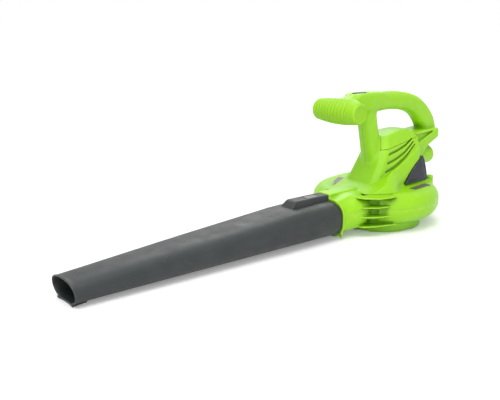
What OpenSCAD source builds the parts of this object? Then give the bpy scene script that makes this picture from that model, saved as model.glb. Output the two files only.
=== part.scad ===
// Corded leaf blower: a round fan housing that stands on its intake collar,
// a motor tower, a loop handle with a front cross grip, and a long flat
// blower tube that clips onto the outlet duct.
// Millimetres. The origin is on the motor axis, on the plane the blower
// stands on. The tube points to -X, the right-hand side is -Y, up is +Z.

/* [Fan housing] */
// Outer radius of the scroll
volute_r = 115; // [108:1:140]
// Distance from the motor axis to the scroll's centre
scroll_off = 15; // [8:0.5:17]
// Height of the scroll
volute_h = 55; // [50:1:70]
// Rounding of the scroll's edge
edge_r = 24; // [12:1:25]
// Wall thickness of the mouldings
wall = 2.5; // [2:0.1:3]

/* [Intake] */
// Outer radius of the collar that the blower stands on
collar_r = 80; // [76:0.5:84]
// Height of the collar
collar_h = 16; // [14:0.5:22]
// Wall thickness of the collar
collar_wall = 4; // [3:0.25:5]
// Radius of the intake hole
intake_r = 62; // [55:1:66]

/* [Outlet duct] */
// Distance from the motor axis to the duct's rim
rim_x = 140; // [132:1:150]
// Width of the duct
duct_w = 100; // [100:1:108]
// Height of the duct
duct_h = 65; // [64:1:70]
// Rounding of the duct's corners
duct_r = 20; // [14:1:24]
// Length of the spigot that the tube slides over
spigot_l = 25; // [18:1:32]

/* [Blower tube] */
// Length of the tube
tube_l = 484; // [400:1:560]
// Width of the tube at its rear end
tube_w = 94.8; // [88:0.2:96]
// Height of the tube at its rear end
tube_h = 60; // [54:0.5:60]
// Width of the tube's mouth
mouth_w = 67.8; // [50:0.2:76]
// Height of the tube's mouth
mouth_h = 35; // [28:0.5:42]
// Wall thickness of the tube
tube_wall = 2.2; // [1.8:0.1:2.6]

/* [Motor] */
// Outer radius of the stator
stator_r = 27; // [25:0.5:28]
// Height of the lamination stack
stack_h = 26; // [20:1:28]
// Radius of the armature
armature_r = 16; // [14:0.5:17]
// Radius of the shaft
shaft_r = 4; // [3.5:0.25:5]
// Number of fan blades
blades = 12; // [8:1:16]

/* [Handle] */
// Width of the handle loop
handle_w = 34; // [30:1:38]
// Length of the front cross grip
grip_l = 98.8; // [84:0.4:120]
// Radius at the middle of the cross grip
grip_r = 22; // [19:0.5:24]
// Wall thickness of the handle halves
handle_wall = 3; // [2.5:0.25:3.5]

/* [Controls] */
// How far the rocker tips to either side, in degrees
rocker_tip = 11; // [6:1:14]
// How far the tube's release button goes down
latch_travel = 3.5; // [2:0.25:4]

/* [Fits] */
// Gap between pieces that slide or lie next to each other
slide_gap = 0.3; // [0.2:0.05:0.5]
// Radial running clearance of the shaft in its bearings
run_gap = 0.05; // [0.02:0.01:0.09]

/* [Hidden] */
big = 400;
eps = 0.01;
fa = 96;
hull_fn = 32;

green = [0.59, 0.83, 0.10];
dark = [0.25, 0.26, 0.26];
black = [0.08, 0.08, 0.09];
panel_grey = [0.2, 0.21, 0.24];
steel = [0.66, 0.67, 0.69];
copper = [0.72, 0.42, 0.22];

// Heights of the fan housing
volute_z0 = collar_h;
volute_z1 = volute_z0 + volute_h;
split_z = volute_z0 + volute_h / 2;
scroll_angle = 51;
scroll = scroll_off * [cos(scroll_angle), sin(scroll_angle)];
step_r = 1.5;
grille_t = 4.6;
grille_z = collar_h - grille_t;
screw_r = 1.9;
head_r = 3.6;
head_h = 2.6;
// depth of the holes that hide the heads of the grille's screws
head_sink = head_h + 0.2;
pilot_r = screw_r + 0.1;
column_r = 6;

// Columns for the housing screws, as angles about the scroll's centre.
// The first one stands proud as a boss beside the tower.
column_angles = [-28.5, 45, 115];
column_ring = volute_r - wall - column_r - 1;
boss_r = 7;
boss_top = 7;
function column_at(a) = scroll + column_ring * [cos(a), sin(a)];

// Outlet duct: its top is level with the scroll's
duct_z1 = volute_z1;
duct_z0 = duct_z1 - duct_h;
duct_end = -volute_r * 0.6;
rim_t = 3;
rim_lip = 1.2;
ridge_hw = 14;
ridge_top = duct_z1 + 3;

// Tube sections: superellipses between the rear end and the mouth
rear_zc = duct_z0 + duct_h / 2 - 4.5;
mouth_lift = 1;
mouth_zc = mouth_lift + mouth_h / 2;
lip_flare = 1;
lip_l = 6;
lean = 4.6;
mouth_x = -rim_x - tube_l;

// share of the way from the rear end (0) to the mouth (1)
function share(x) = (-rim_x - x) / tube_l;
// straight where the spigot sits, then a steady taper
function taper(s) = lookup(s, [[0, 0], [0.06, 0], [0.2, 0.06], [0.6, 0.5], [0.78, 0.72], [1, 1]]);
function half_w(x) = (tube_w + (mouth_w - tube_w) * taper(share(x))) / 2;
function half_h(x) = (tube_h + (mouth_h - tube_h) * taper(share(x))) / 2;
function mid_z(x) = rear_zc + (mouth_zc - rear_zc) * taper(share(x));
function round_off(x) = 3 - 0.6 * max(0, share(x));
function flare(x) = x < mouth_x + lip_l ? lip_flare * (mouth_x + lip_l - x) / lip_l : 0;

// [low, high] of a stretch about a centre
function span(c, h) = [c - h, c + h];

function spow(v, e) = sign(v) * pow(abs(v), e);
function section(x, inset, n) = [for (i = [0:n - 1])
    let (a = 360 * i / n, e = 2 / round_off(x),
         u = spow(cos(a), e), v = spow(sin(a), e),
         far = max(0, (share(x) - 0.9) / 0.1))
    [x - lean * far * (v + 1) / 2,
     (half_w(x) - inset + flare(x)) * u,
     mid_z(x) + (half_h(x) - inset + flare(x)) * v]];

// Latch: a tongue on the duct carries a push button that pops into the
// window of the tube's hump
tongue_l = 52;
tongue_hw = 11;
tube_top = rear_zc + tube_h / 2;
hump_top = tube_top + 9;
hump_l = 89;
hump_hw = 14.5;
channel_top = hump_top - 1.8;
tongue_top = channel_top - slide_gap;
tongue_z0 = tube_top - tube_wall - 2.6;
button_x = -rim_x - 31.5;
button_l = 24;
button_hw = 7;
skirt = 1;
skirt_h = 1.6;
spring_h = latch_travel + 2.4;
pocket_z = tongue_z0 + 1.2;
button_z0 = pocket_z + spring_h;
button_top = hump_top - 0.3;

// Motor tower
tower_z = volute_z1;
tower_front = -58;
tower_rear = 80;
front_hw = 36;
rear_hw = 48;
seam_front = [-17.5, 137];
seam_rear = [74, 152];
seam_hw = [31, 27];
cap_top = 165;
cap_hw = 21;
cap_x = [-9, 66];
corner_r = 5;
seam_tilt = atan2(seam_rear[1] - seam_front[1], seam_rear[0] - seam_front[0]);

// Rear collar of the handle's rear leg, side view outline [x, z]
saddle = [[66, 158], [100, 160], [141, 161], [152, 152], [147, 145], [112, 134], [104, 134],
          [70, 140]];
saddle_hw = 24;
saddle_rear = saddle[3][0];
saddle_corner = 12;

// Side panels lie in a plane that leans in towards the top
panel_lean = 12;
panel_y = 48.5;
panel_t = 2.5;
panel_pts = [[9.6, 1.5], [34, 27], [76, 50], [83, 26], [79, 3.5]];

// Handle: centre line [x, z, half height] of the bar and of the post
bar = [[-99, 214, 13], [-79, 221, 16], [-43, 223, 17.5], [-14, 221.5, 16.5],
       [24.5, 221.5, 16.3], [65, 215.5, 16.5], [95.5, 203.5, 17.5], [117.5, 184, 19],
       [128, 168, 19.5], [133, 152, 18.5]];
post = [[-14, 108, 17], [-19, 124, 16.5], [-26, 150, 16], [-35, 190, 15.6], [-40, 214, 16]];
grip_at = [-107, 212];
grip_end_r = 17.6;
grip_face_r = 14.9;
grip_wall = 3;

// Switch in the top of the handle's front block
switch_x = -55;
handle_top = 240.5;
rocker_l = 18;
rocker_hw = 5.5;
rocker_z = handle_top - 4.5;
rocker_r = 9;
bezel_l = 26;
bezel_hw = 9;
bezel_t = 2;
module_h = 20;

// Power inlet behind the tower
inlet_z = 109;
inlet_r = 17.5;
inlet_x0 = 78;
inlet_x1 = 142;

// Motor stack, upwards from the fan housing
base_t = 5;
fan_z = tower_z + base_t + 1;
fan_h = 6;
cool_r = 19;
stator_z = fan_z + fan_h + 3;
stator_top = stator_z + stack_h;
winding_h = 3;
commutator_z = stator_top + winding_h + 1;
commutator_h = 9;
commutator_r = 10;
bridge_z = commutator_z + commutator_h + 1.5;
bridge_t = 2;
bearing_h = 7;
bearing_r = 8;
bolt_ring = 22;
bore_r = shaft_r + run_gap;
air_gap = 0.6;
shaft_top = bridge_z + bridge_t + bearing_h + 2;
wheel_r = volute_r - wall - scroll_off - 9.5;
wheel_z0 = volute_z0 + wall + 9;
wheel_z1 = volute_z1 - wall - 7;
plate_t = 2;
hub_r = 13;
shaft_z0 = wheel_z0 + 2;

// ---- shared shapes ----

// Half outline of a disc with rounded edges, for rotate_extrude
module disc_outline(r, z0, z1, edge) {
    translate([0, z0]) square([r - edge, z1 - z0]);
    translate([0, z0 + edge]) square([r, z1 - z0 - 2 * edge]);
    for (z = [z0 + edge, z1 - edge]) translate([r - edge, z]) circle(edge, $fn = fa);
}

module scroll_solid(inset) {
    translate([scroll[0], scroll[1], 0]) rotate_extrude($fn = 180)
        intersection() {
            disc_outline(volute_r - inset, volute_z0 + inset, volute_z1 - inset, edge_r - inset);
            square([big, big]);
        }
}

module rounded_rect(w, h, r) {
    square([w - 2 * r, h], center = true);
    square([w, h - 2 * r], center = true);
    for (x = [-1, 1], y = [-1, 1])
        translate([x * (w / 2 - r), y * (h / 2 - r)]) circle(r, $fn = fa);
}

// Box along X with rounded long edges
module bar_x(x0, x1, w, z0, z1, r) {
    translate([x0, 0, (z0 + z1) / 2]) rotate([90, 0, 90])
        linear_extrude(x1 - x0) rounded_rect(w, z1 - z0, r);
}

module box(x, y, z) {
    translate([x[0], y[0], z[0]]) cube([x[1] - x[0], y[1] - y[0], z[1] - z[0]]);
}

module duct_solid(inset) {
    bar_x(-rim_x, duct_end - inset, duct_w - 2 * inset, duct_z0 + inset, duct_z1 - inset,
          duct_r - inset);
}

// Solid skin through rings of points, closed by a flat face at both ends
module skin(rings) {
    n = len(rings[0]);
    m = len(rings);
    points = [for (ring = rings) for (p = ring) p];
    sides = [for (j = [0:m - 2]) for (i = [0:n - 1])
        let (k = (i + 1) % n)
        [j * n + i, j * n + k, (j + 1) * n + k, (j + 1) * n + i]];
    first = [for (i = [n - 1:-1:0]) i];
    last = [for (i = [0:n - 1]) (m - 1) * n + i];
    polyhedron(points, concat([first], sides, [last]), convexity = 4);
}

module tube_solid(x_from, x_to, inset, steps, n = 48) {
    skin([for (j = [0:steps]) section(x_from + (x_to - x_from) * j / steps, inset, n)]);
}

// Ring that the spigot's end opens onto
module rim_plate() {
    bar_x(-rim_x, -rim_x + rim_t, duct_w + 2 * rim_lip, duct_z0 - rim_lip, duct_z1 + rim_lip,
          duct_r + rim_lip);
}

module screw(len) {
    color(steel) {
        cylinder(len, r = screw_r, $fn = 32);
        difference() {
            translate([0, 0, -head_h]) cylinder(head_h, r = head_r, $fn = 48);
            for (a = [0, 90]) rotate(a)
                box([-2.2, 2.2], [-0.5, 0.5], [-head_h - 1, -head_h + 1.3]);
        }
    }
}

// ---- fan housing ----

module rib_plate(z, t = 2) {
    translate([0, 0, z - t / 2]) linear_extrude(t)
        polygon([[-108, -48], [-105, -59], [-62, -82], [-44, -84], [-60, -48]]);
}

module housing_outside() {
    scroll_solid(0);
    duct_solid(0);
    rim_plate();
    bar_x(-rim_x, tower_front, 2 * ridge_hw, duct_z1 - 6, ridge_top, 2.5);
    for (z = [volute_z0 + 2, volute_z0 + 19, volute_z1 - 18, volute_z1 - 1.5]) rib_plate(z);
}

module housing_inside() {
    scroll_solid(wall);
    duct_solid(wall);
}

module housing_columns(r) {
    for (a = column_angles) translate([column_at(a)[0], column_at(a)[1], 0])
        translate([0, 0, volute_z0 + wall / 2]) cylinder(volute_h - wall, r = r, $fn = 48);
}

module housing_body() {
    difference() {
        housing_outside();
        difference() {
            housing_inside();
            housing_columns(column_r);
        }
        // air way through the rim and the spigot
        spigot_bar(-rim_x - 1, -rim_x + rim_t + 2, tube_wall + 1.5 * slide_gap + wall);
        cylinder(big, r = hub_r + 2, $fn = 64);
    }
}

module spigot_bar(x0, x1, inset) {
    translate([x0, 0, 0]) rotate([90, 0, 90]) linear_extrude(x1 - x0)
        polygon([for (p = section(-rim_x, inset, 48)) [p[1], p[2]]]);
}

// Fits the inside of the tube's rear end
module spigot() {
    inset = tube_wall + 1.5 * slide_gap;
    difference() {
        spigot_bar(-rim_x - spigot_l, -rim_x + rim_t / 2, inset);
        spigot_bar(-rim_x - spigot_l - 1, -rim_x + rim_t, inset + wall);
    }
}

module half_space(below) {
    box([-big, big], [-big, big], below ? [-big, split_z] : [split_z, big]);
}

module fan_housing_lower() {
    notch_w = 11;
    grille_boss_h = 4.5;
    color(green) difference() {
        union() {
            intersection() {
                union() {
                    housing_body();
                    spigot();
                }
                half_space(true);
            }
            // standing collar
            cylinder(collar_h + eps, r = collar_r, $fn = 180);
            for (a = [30, 150, 270]) rotate(a) translate([intake_r + 7, 0, collar_h])
                cylinder(wall + grille_boss_h, r = 3.6, $fn = 32);
            // foot nub of the rim
            box([-rim_x, -rim_x + rim_t], [-duct_w / 2 + 4, -duct_w / 2 + 9], [duct_z0 - 2, duct_z0 + 8]);
        }
        translate([0, 0, -1]) cylinder(grille_z + 1, r = collar_r - collar_wall, $fn = 180);
        translate([0, 0, grille_z - 1]) cylinder(grille_t + 1, r = collar_r - collar_wall - step_r,
                                                 $fn = 180);
        translate([0, 0, collar_h - 1]) cylinder(wall + 3, r = intake_r, $fn = 128);
        // shallow notches around the foot of the collar
        for (a = [24:60:324]) rotate(a)
            box([collar_r - 2, collar_r + 2], [-notch_w, notch_w], [-1, 1.4]);
        for (a = [30, 150, 270]) rotate(a) translate([intake_r + 7, 0, collar_h - 1])
            cylinder(big, r = pilot_r, $fn = 32);
        // housing screws come up from below
        for (a = column_angles) translate([column_at(a)[0], column_at(a)[1], 0]) {
            cylinder(big, r = pilot_r, $fn = 32);
            cylinder(screw_seat_z, r = head_r + 0.4, $fn = 48);
        }
    }
}

screw_seat_z = volute_z0 + 14;

module fan_housing_upper() {
    vent_r = 27;
    boss_at = column_at(column_angles[0]);
    color(green) difference() {
        union() {
            intersection() {
                union() {
                    housing_body();
                    spigot();
                }
                half_space(false);
            }
            translate([boss_at[0], boss_at[1], volute_z1 - edge_r + 6])
                cylinder(edge_r - 6 + boss_top, r = boss_r, $fn = 64);
            tongue();
        }
        for (a = column_angles) translate([column_at(a)[0], column_at(a)[1], -1])
            cylinder(volute_z1 - 5, r = pilot_r, $fn = 32);
        translate([boss_at[0], boss_at[1], volute_z1 + 2]) cylinder(big, r = 3.4, $fn = 48);
        // cooling air from the motor enters the scroll around the shaft
        for (a = [45:90:315]) rotate(a) translate([vent_r - 5, 0, volute_z1 - wall - 1])
            cylinder(wall + 2, r = 2.2, $fn = 32);
        // cores the ridge
        box([-rim_x + rim_t, -62], [-ridge_hw + wall, ridge_hw - wall],
            [duct_z1 - 5, ridge_top - wall + 0.5]);
    }
}

module tongue() {
    difference() {
        box([-rim_x - tongue_l, -rim_x + 1], [-tongue_hw, tongue_hw], [tongue_z0, tongue_top]);
        box(span(button_x, button_l / 2 + skirt + slide_gap), span(0, button_hw + skirt + slide_gap),
            [pocket_z, button_z0 + skirt_h + slide_gap]);
        box(span(button_x, button_l / 2 + slide_gap), span(0, button_hw + slide_gap), [pocket_z, big]);
    }
}

module intake_grille() {
    rings = [14, 26, 38, 50];
    rib = 2.4;
    color(green) difference() {
        union() {
            translate([0, 0, grille_z]) difference() {
                cylinder(grille_t, r = collar_r - collar_wall - step_r - slide_gap, $fn = 180);
                translate([0, 0, -1]) cylinder(grille_t + 2, r = intake_r - 1, $fn = 128);
            }
            for (r = rings) translate([0, 0, grille_z]) difference() {
                cylinder(grille_t, r = r + rib / 2, $fn = 96);
                translate([0, 0, -1]) cylinder(grille_t + 2, r = r - rib / 2, $fn = 96);
            }
            for (a = [0:30:330]) rotate(a)
                box([rings[0] - 0.5, intake_r], [-rib / 2, rib / 2], [grille_z, collar_h]);
        }
        for (a = [30, 150, 270]) rotate(a) translate([intake_r + 7, 0, grille_z - 1]) {
            cylinder(grille_t + 2, r = pilot_r, $fn = 32);
            cylinder(head_sink + 1, r = head_r + 0.3, $fn = 48);
        }
    }
}

module grille_screws() {
    for (a = [30, 150, 270]) rotate(a) translate([intake_r + 7, 0, grille_z + head_sink])
        screw(8);
}

module housing_screws() {
    for (a = column_angles) translate([column_at(a)[0], column_at(a)[1], screw_seat_z])
        screw(volute_h - 24);
}

// Blank rating plates on top of the scroll
module label_plates() {
    t = 0.5;
    color([0.35, 0.33, 0.32]) translate([0, 0, volute_z1]) {
        linear_extrude(t) polygon([[9, -66], [10.4, -79], [61.7, -73], [62.6, -59]]);
        linear_extrude(t) polygon([[-66, 42], [-56, 58], [-22, 78], [-16, 66], [-44, 50], [-56, 40]]);
    }
}

// ---- motor tower ----

module slice(x, hw, z, inset, r = corner_r) {
    for (i = [0, 1], s = [-1, 1])
        translate([x[i] + (1 - 2 * i) * (r + inset), s * (hw[i] - r - inset), z[i]])
            cylinder(0.1, r = r, $fn = hull_fn);
}

module tower_lower(inset) {
    hull() {
        slice([tower_front, tower_rear], [front_hw, rear_hw], [1, 1] * tower_z, inset);
        slice([seam_front[0], seam_rear[0]], seam_hw, [seam_front[1], seam_rear[1]] - [1, 1] * 0.1,
              inset);
    }
}

module cap_solid(inset) {
    hull() {
        slice([seam_front[0], seam_rear[0]], seam_hw, [seam_front[1], seam_rear[1]], inset);
        slice(cap_x, [1, 1] * cap_hw, [1, 1] * (cap_top - inset - 0.1), inset, 8);
    }
}

// The right-hand arm's foot spreads over the ribs; the left one stops beside the tower
module arm(side) {
    foot = side < 0 ? [[-56, 43], [-34, 52]] : [[-14, 41], [6, 46]];
    hull() {
        for (p = foot) translate([p[0], side * p[1], tower_z]) cylinder(6, r = 8, $fn = hull_fn);
        translate([104, side * (saddle_hw - 6), 132]) cylinder(20, r = 6, $fn = hull_fn);
        translate([66, side * (saddle_hw + 2), 134]) cylinder(16, r = 6, $fn = hull_fn);
    }
}

module saddle_block(inset) {
    hw = saddle_hw - inset;
    rear = saddle_rear - inset;
    c = saddle_corner;
    intersection() {
        rotate([90, 0, 0]) translate([0, 0, -hw])
            linear_extrude(2 * hw) offset(delta = -inset) polygon(saddle);
        linear_extrude(big)
            polygon([[0, -hw], [rear - c, -hw], [rear, c - hw], [rear, hw - c], [rear - c, hw], [0, hw]]);
    }
}

module above_seam() {
    translate([seam_front[0], 0, seam_front[1]]) rotate([0, -seam_tilt, 0])
        box([-big, big], [-big, big], [0, big]);
}

module tower_outside() {
    tower_lower(0);
    saddle_block(0);
}

// Curved cooling slots that draw together towards the rear
module louvres() {
    starts = [[-13, 130], [-21, 116], [-27, 101]];
    ends = [[55, 151], [61, 145], [66, 138]];
    slot_w = 3;
    for (k = [0:2]) let (a = starts[k], b = ends[k], d = b - a, l = norm(d))
        translate([a[0], 0, a[1]]) rotate([0, -atan2(d[1], d[0]), 0])
            box([4, l - 6], [-big, big], [-slot_w / 2, slot_w / 2]);
}

module motor_tower() {
    color(green) difference() {
        union() {
            tower_outside();
            arm(-1);
            arm(1);
        }
        above_cap_line();
        tower_lower(wall);
        shaft_opening();
        difference() {
            saddle_block(wall);
            above_seam_wedge();
        }
        louvres();
        inlet_hole();
        panel_pocket(-1);
        panel_pocket(1);
        wire_hole();
    }
}

// The cap's own space, which the tower leaves free
module above_cap_line() {
    cap_solid(0);
}

module shaft_opening() {
    translate([0, 0, tower_z - 1]) cylinder(2, r = stator_r, $fn = 96);
}

module above_seam_wedge() {
    box([-big, seam_rear[0]], [-big, big], [-big, big]);
}

module wire_hole() {
    translate([seam_front[0] - 14, 0, 130]) rotate([0, 90, 0]) cylinder(22, r = 5, $fn = 48);
}

module inlet_hole() {
    translate([tower_rear - 22, 0, inlet_z]) rotate([0, 90, 0])
        cylinder(60, r = inlet_r + slide_gap, $fn = 96);
}

module motor_cap() {
    color(green) difference() {
        cap_solid(0);
        cap_solid(wall);
        louvres();
    }
}

module panel_plate(grow, t) {
    rotate([90 - panel_lean, 0, 0]) translate([0, 0, -t]) linear_extrude(t)
        offset(delta = grow) polygon(panel_pts);
}

module panel_place(side) {
    mirror([0, side > 0 ? 1 : 0, 0]) translate([0, -panel_y, tower_z + 1]) children();
}

module panel_pocket(side) {
    panel_place(side) panel_plate(slide_gap, 8);
}

module side_panel(side) {
    color(panel_grey) panel_place(side) panel_plate(0, panel_t);
}

// ---- handle ----

// Stations along a centre line of [x, z, half height], smoothed through its points
function smooth(a, b, c, d, t) = 0.5 * (2 * b + (c - a) * t + (2 * a - 5 * b + 4 * c - d) * t * t
    + (3 * b - a - 3 * c + d) * t * t * t);
function stations(path, k) = let (m = len(path) - 1) concat(
    [for (i = [0:m - 1]) for (j = [0:k - 1])
        smooth(path[max(i - 1, 0)], path[i], path[i + 1], path[min(i + 2, m)], j / k)],
    [path[m]]);

// Side view of a bar that follows its stations in the XZ plane
module bar_outline(path, inset) {
    line = stations(path, 3);
    m = len(line) - 1;
    edge = [for (s = [1, -1]) [for (j = [0:m])
        let (a = line[max(j - 1, 0)], b = line[min(j + 1, m)], d = [b[0] - a[0], b[1] - a[1]],
             out = [-d[1], d[0]] / norm(d), c = line[j])
        [c[0], c[1]] + s * (c[2] - inset) * out]];
    polygon(concat(edge[0], [for (j = [m:-1:0]) edge[1][j]]));
}

// The loop, with its long edges stepped in towards both sides
module handle_solid(inset) {
    steps = [[0, 0.62], [1.6, 0.82], [4.4, 1]];
    for (step = steps) rotate([90, 0, 0])
        linear_extrude(handle_w * step[1] - 2 * inset, center = true) {
            bar_outline(bar, inset + step[0]);
            bar_outline(post, inset + step[0]);
        }
}

// Barrel of the cross grip about its own axis
module grip_barrel(grow) {
    half = grip_l / 2;
    bulge = grip_r - grip_end_r;
    rotate_extrude($fn = 96) polygon(concat([[0, -half - grow]],
        [for (i = [-6:6]) let (y = half * i / 6)
            [grip_end_r + bulge * (1 - pow(i / 6, 2)) + grow, y + grow * sign(i)]],
        [[0, half + grow]]));
}

module at_grip() {
    translate([grip_at[0], 0, grip_at[1]]) rotate([90, 0, 0]) children();
}

module front_grip() {
    color(green) at_grip() difference() {
        grip_barrel(0);
        translate([0, 0, -big]) cylinder(2 * big, r = grip_face_r, $fn = 96);
    }
}

module grip_caps() {
    cap_t = 3;
    color(green) at_grip() for (s = [-1, 1])
        translate([0, 0, s * (grip_l / 2 - cap_t / 2 - 0.3)]) 
            cylinder(cap_t, r = grip_face_r - 0.05, center = true, $fn = 96);
}

module handle_shell() {
    difference() {
        handle_solid(0);
        handle_solid(handle_wall);
        at_grip() grip_barrel(slide_gap);
        tower_outside();
        cap_solid(0);
        // seat of the switch
        box(span(switch_x, bezel_l / 2 + slide_gap), span(0, bezel_hw + slide_gap),
            [handle_top - 16, big]);
        handle_bores();
    }
}

// Cross holes for the screws that close the two halves
handle_screw_at = [[-22, 221], [104, 193], [-30, 172]];
module handle_bores() {
    for (p = handle_screw_at) translate([p[0], 0, p[1]]) rotate([90, 0, 0]) {
        cylinder(handle_w, r = pilot_r, center = true, $fn = 32);
    }
}

module handle_posts() {
    intersection() {
        for (p = handle_screw_at) translate([p[0], 0, p[1]]) rotate([90, 0, 0]) difference() {
            cylinder(handle_w - 4, r = 5, center = true, $fn = 48);
            cylinder(handle_w, r = pilot_r, center = true, $fn = 32);
            translate([0, 0, handle_w / 2 - 8]) cylinder(big, r = head_r + 0.4, $fn = 48);
        }
        handle_solid(handle_wall - 0.4);
    }
}

module handle_half(side) {
    color(green) difference() {
        intersection() {
            union() {
                handle_shell();
                handle_posts();
            }
            box([-big, big], side < 0 ? [-big, 0] : [0, big], [0, big]);
        }
        for (p = handle_screw_at) translate([p[0], -handle_w / 2 + 8, p[1]]) rotate([90, 0, 0])
            cylinder(big, r = head_r + 0.4, $fn = 48);
    }
}

module handle_screws() {
    for (p = handle_screw_at)
        translate([p[0], -handle_w / 2 + 8, p[1]]) rotate([-90, 0, 0]) screw(handle_w - 12);
}

// ---- switch ----

module switch_bezel() {
    color(black) translate([switch_x, 0, 0]) difference() {
        box(bezel_l / 2 * [-1, 1], bezel_hw * [-1, 1], [handle_top - 3, handle_top - 1]);
        box((rocker_l / 2 + 0.5) * [-1, 1], (rocker_hw + 0.5) * [-1, 1], [0, big]);
    }
}

module switch_module() {
    top = rocker_z - rocker_r - 0.5;
    color(black) translate([switch_x, 0, 0]) {
        box(10 * [-1, 1], 7 * [-1, 1], [top - module_h + 4, top]);
        for (s = [-1, 1]) box(rocker_r * [-1, 1], s > 0 ? [6.2, bezel_hw] : [-bezel_hw, -6.2],
            [top - 1, handle_top - 3]);
    }
}

// Rests tipped forward; the other end goes down when it is switched on
module switch_rocker() {
    color(black) translate([switch_x, 0, rocker_z]) rotate([90, 0, 0]) difference() {
        intersection() {
            cylinder(2 * rocker_hw, r = rocker_r, center = true, $fn = 96);
            rotate(rocker_tip) translate([0, -3.5]) cube([big, 14, big], center = true);
        }
        rotate(rocker_tip) translate([0, 8]) cylinder(big, r = 5, center = true, $fn = 64);
    }
}

// ---- power inlet ----

module inlet_housing() {
    color(green) translate([inlet_x0, 0, inlet_z]) rotate([0, 90, 0]) difference() {
        cylinder(inlet_x1 - inlet_x0, r = inlet_r, $fn = 128);
        translate([0, 0, -1]) cylinder(big, r = inlet_r - wall, $fn = 128);
    }
}

module inlet_insert() {
    depth = 14;
    color(black) translate([inlet_x0 + 30, 0, inlet_z]) rotate([0, 90, 0]) difference() {
        cylinder(depth, r = inlet_r - wall - 0.2, $fn = 128);
        for (s = [-1, 1]) translate([0, s * 6.35, -1]) box([-3.2, 3.2], [-0.8, 0.8], [0, big]);
    }
}

module inlet_pins() {
    color(steel) for (s = [-1, 1]) translate([inlet_x0 + 26, s * 6.35, inlet_z])
        box([0, 34], [-0.75, 0.75], [-3.15, 3.15]);
}

// ---- motor ----

module ring(r0, r1, z, h) {
    translate([0, 0, z]) difference() {
        cylinder(h, r = r1, $fn = 128);
        translate([0, 0, -1]) cylinder(h + 2, r = r0, $fn = 128);
    }
}

module at_bolts() {
    for (a = [45:90:315]) rotate(a) translate([bolt_ring, 0, 0]) children();
}

module motor_base() {
    color(steel) difference() {
        union() {
            translate([0, 0, tower_z]) cylinder(base_t, r = stator_r, $fn = 128);
            at_bolts() translate([0, 0, tower_z]) cylinder(stator_z - tower_z, r = 2.6, $fn = 48);
        }
        translate([0, 0, tower_z - 1]) cylinder(big, r = bearing_r, $fn = 96);
        at_bolts() translate([0, 0, tower_z - 1]) cylinder(big, r = 1.6, $fn = 32);
    }
}

module lower_bearing() {
    color([0.72, 0.55, 0.3]) ring(bore_r, bearing_r - 0.02, tower_z, base_t);
}

module upper_bearing() {
    color([0.72, 0.55, 0.3]) ring(bore_r, bearing_r - 0.02, bridge_z + bridge_t, bearing_h);
}

module stator_core() {
    pole = armature_r + air_gap;
    color(steel) difference() {
        translate([0, 0, stator_z]) cylinder(stack_h, r = stator_r, $fn = 128);
        translate([0, 0, stator_z - 1]) cylinder(big, r = pole, $fn = 128);
        for (s = [-1, 1]) box([-11, 11], s > 0 ? [0, pole + 5] : [-pole - 5, 0],
            [stator_z - 1, stator_top + 1]);
        at_bolts() translate([0, 0, stator_z - 1]) cylinder(big, r = 1.6, $fn = 32);
    }
}

module field_coils() {
    pole = armature_r + air_gap;
    color(copper) for (s = [-1, 1]) difference() {
        box([-10.5, 10.5], s > 0 ? [pole + 0.8, pole + 4.6] : [-pole - 4.6, -pole - 0.8],
            [stator_z - winding_h, stator_top + winding_h]);
    }
}

module motor_bridge() {
    color(steel) difference() {
        union() {
            translate([0, 0, bridge_z]) intersection() {
                cylinder(bridge_t, r = 26, $fn = 96);
                box([-19, 19], [-26, 26], [0, bridge_t]);
            }
            translate([0, 0, bridge_z]) cylinder(bridge_t + bearing_h, r = bearing_r + 1.5, $fn = 96);
            at_bolts() translate([0, 0, stator_top]) cylinder(bridge_z - stator_top, r = 2.6, $fn = 48);
        }
        translate([0, 0, bridge_z + bridge_t]) cylinder(big, r = bearing_r, $fn = 96);
        translate([0, 0, bridge_z - 1]) cylinder(big, r = shaft_r + 1, $fn = 64);
        at_bolts() translate([0, 0, stator_top - 1]) cylinder(big, r = 1.6, $fn = 32);
    }
}

module motor_bolts() {
    head = 2;
    color(steel) at_bolts() {
        translate([0, 0, tower_z]) cylinder(bridge_z + bridge_t - tower_z, r = 1.5, $fn = 32);
        translate([0, 0, bridge_z + bridge_t]) cylinder(head, r = 2.8, $fn = 48);
    }
}

brush_w = 6;
brush_z = commutator_z + commutator_h / 2;
module brush_holders() {
    color([0.75, 0.6, 0.3]) for (s = [0, 180]) rotate(s) difference() {
        box([-4.5, 4.5], [12, 25], [brush_z - 3.5, bridge_z]);
        box([-brush_w / 2 - 0.1, brush_w / 2 + 0.1], [0, 23.5], [brush_z - 2.6, brush_z + 2.6]);
    }
}

module carbon_brushes() {
    color([0.15, 0.15, 0.15]) for (s = [0, 180]) rotate(s)
        box([-brush_w / 2, brush_w / 2], [commutator_r + 0.3, 18], [brush_z - 2.5, brush_z + 2.5]);
}

module brush_springs() {
    color(steel) for (s = [0, 180]) rotate(s) for (k = [0:4])
        translate([0, 18.2 + k * 1.1, brush_z]) rotate([-90, 0, 0]) difference() {
            cylinder(0.7, r = 2.2, $fn = 48);
            translate([0, 0, -1]) cylinder(3, r = 1.5, $fn = 48);
        }
}

module suppressor() {
    color([0.75, 0.7, 0.2]) translate([38, -10, cap_top - wall - 5.3]) rotate([-90, 0, 0])
        cylinder(20, r = 5, $fn = 64);
}

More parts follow.
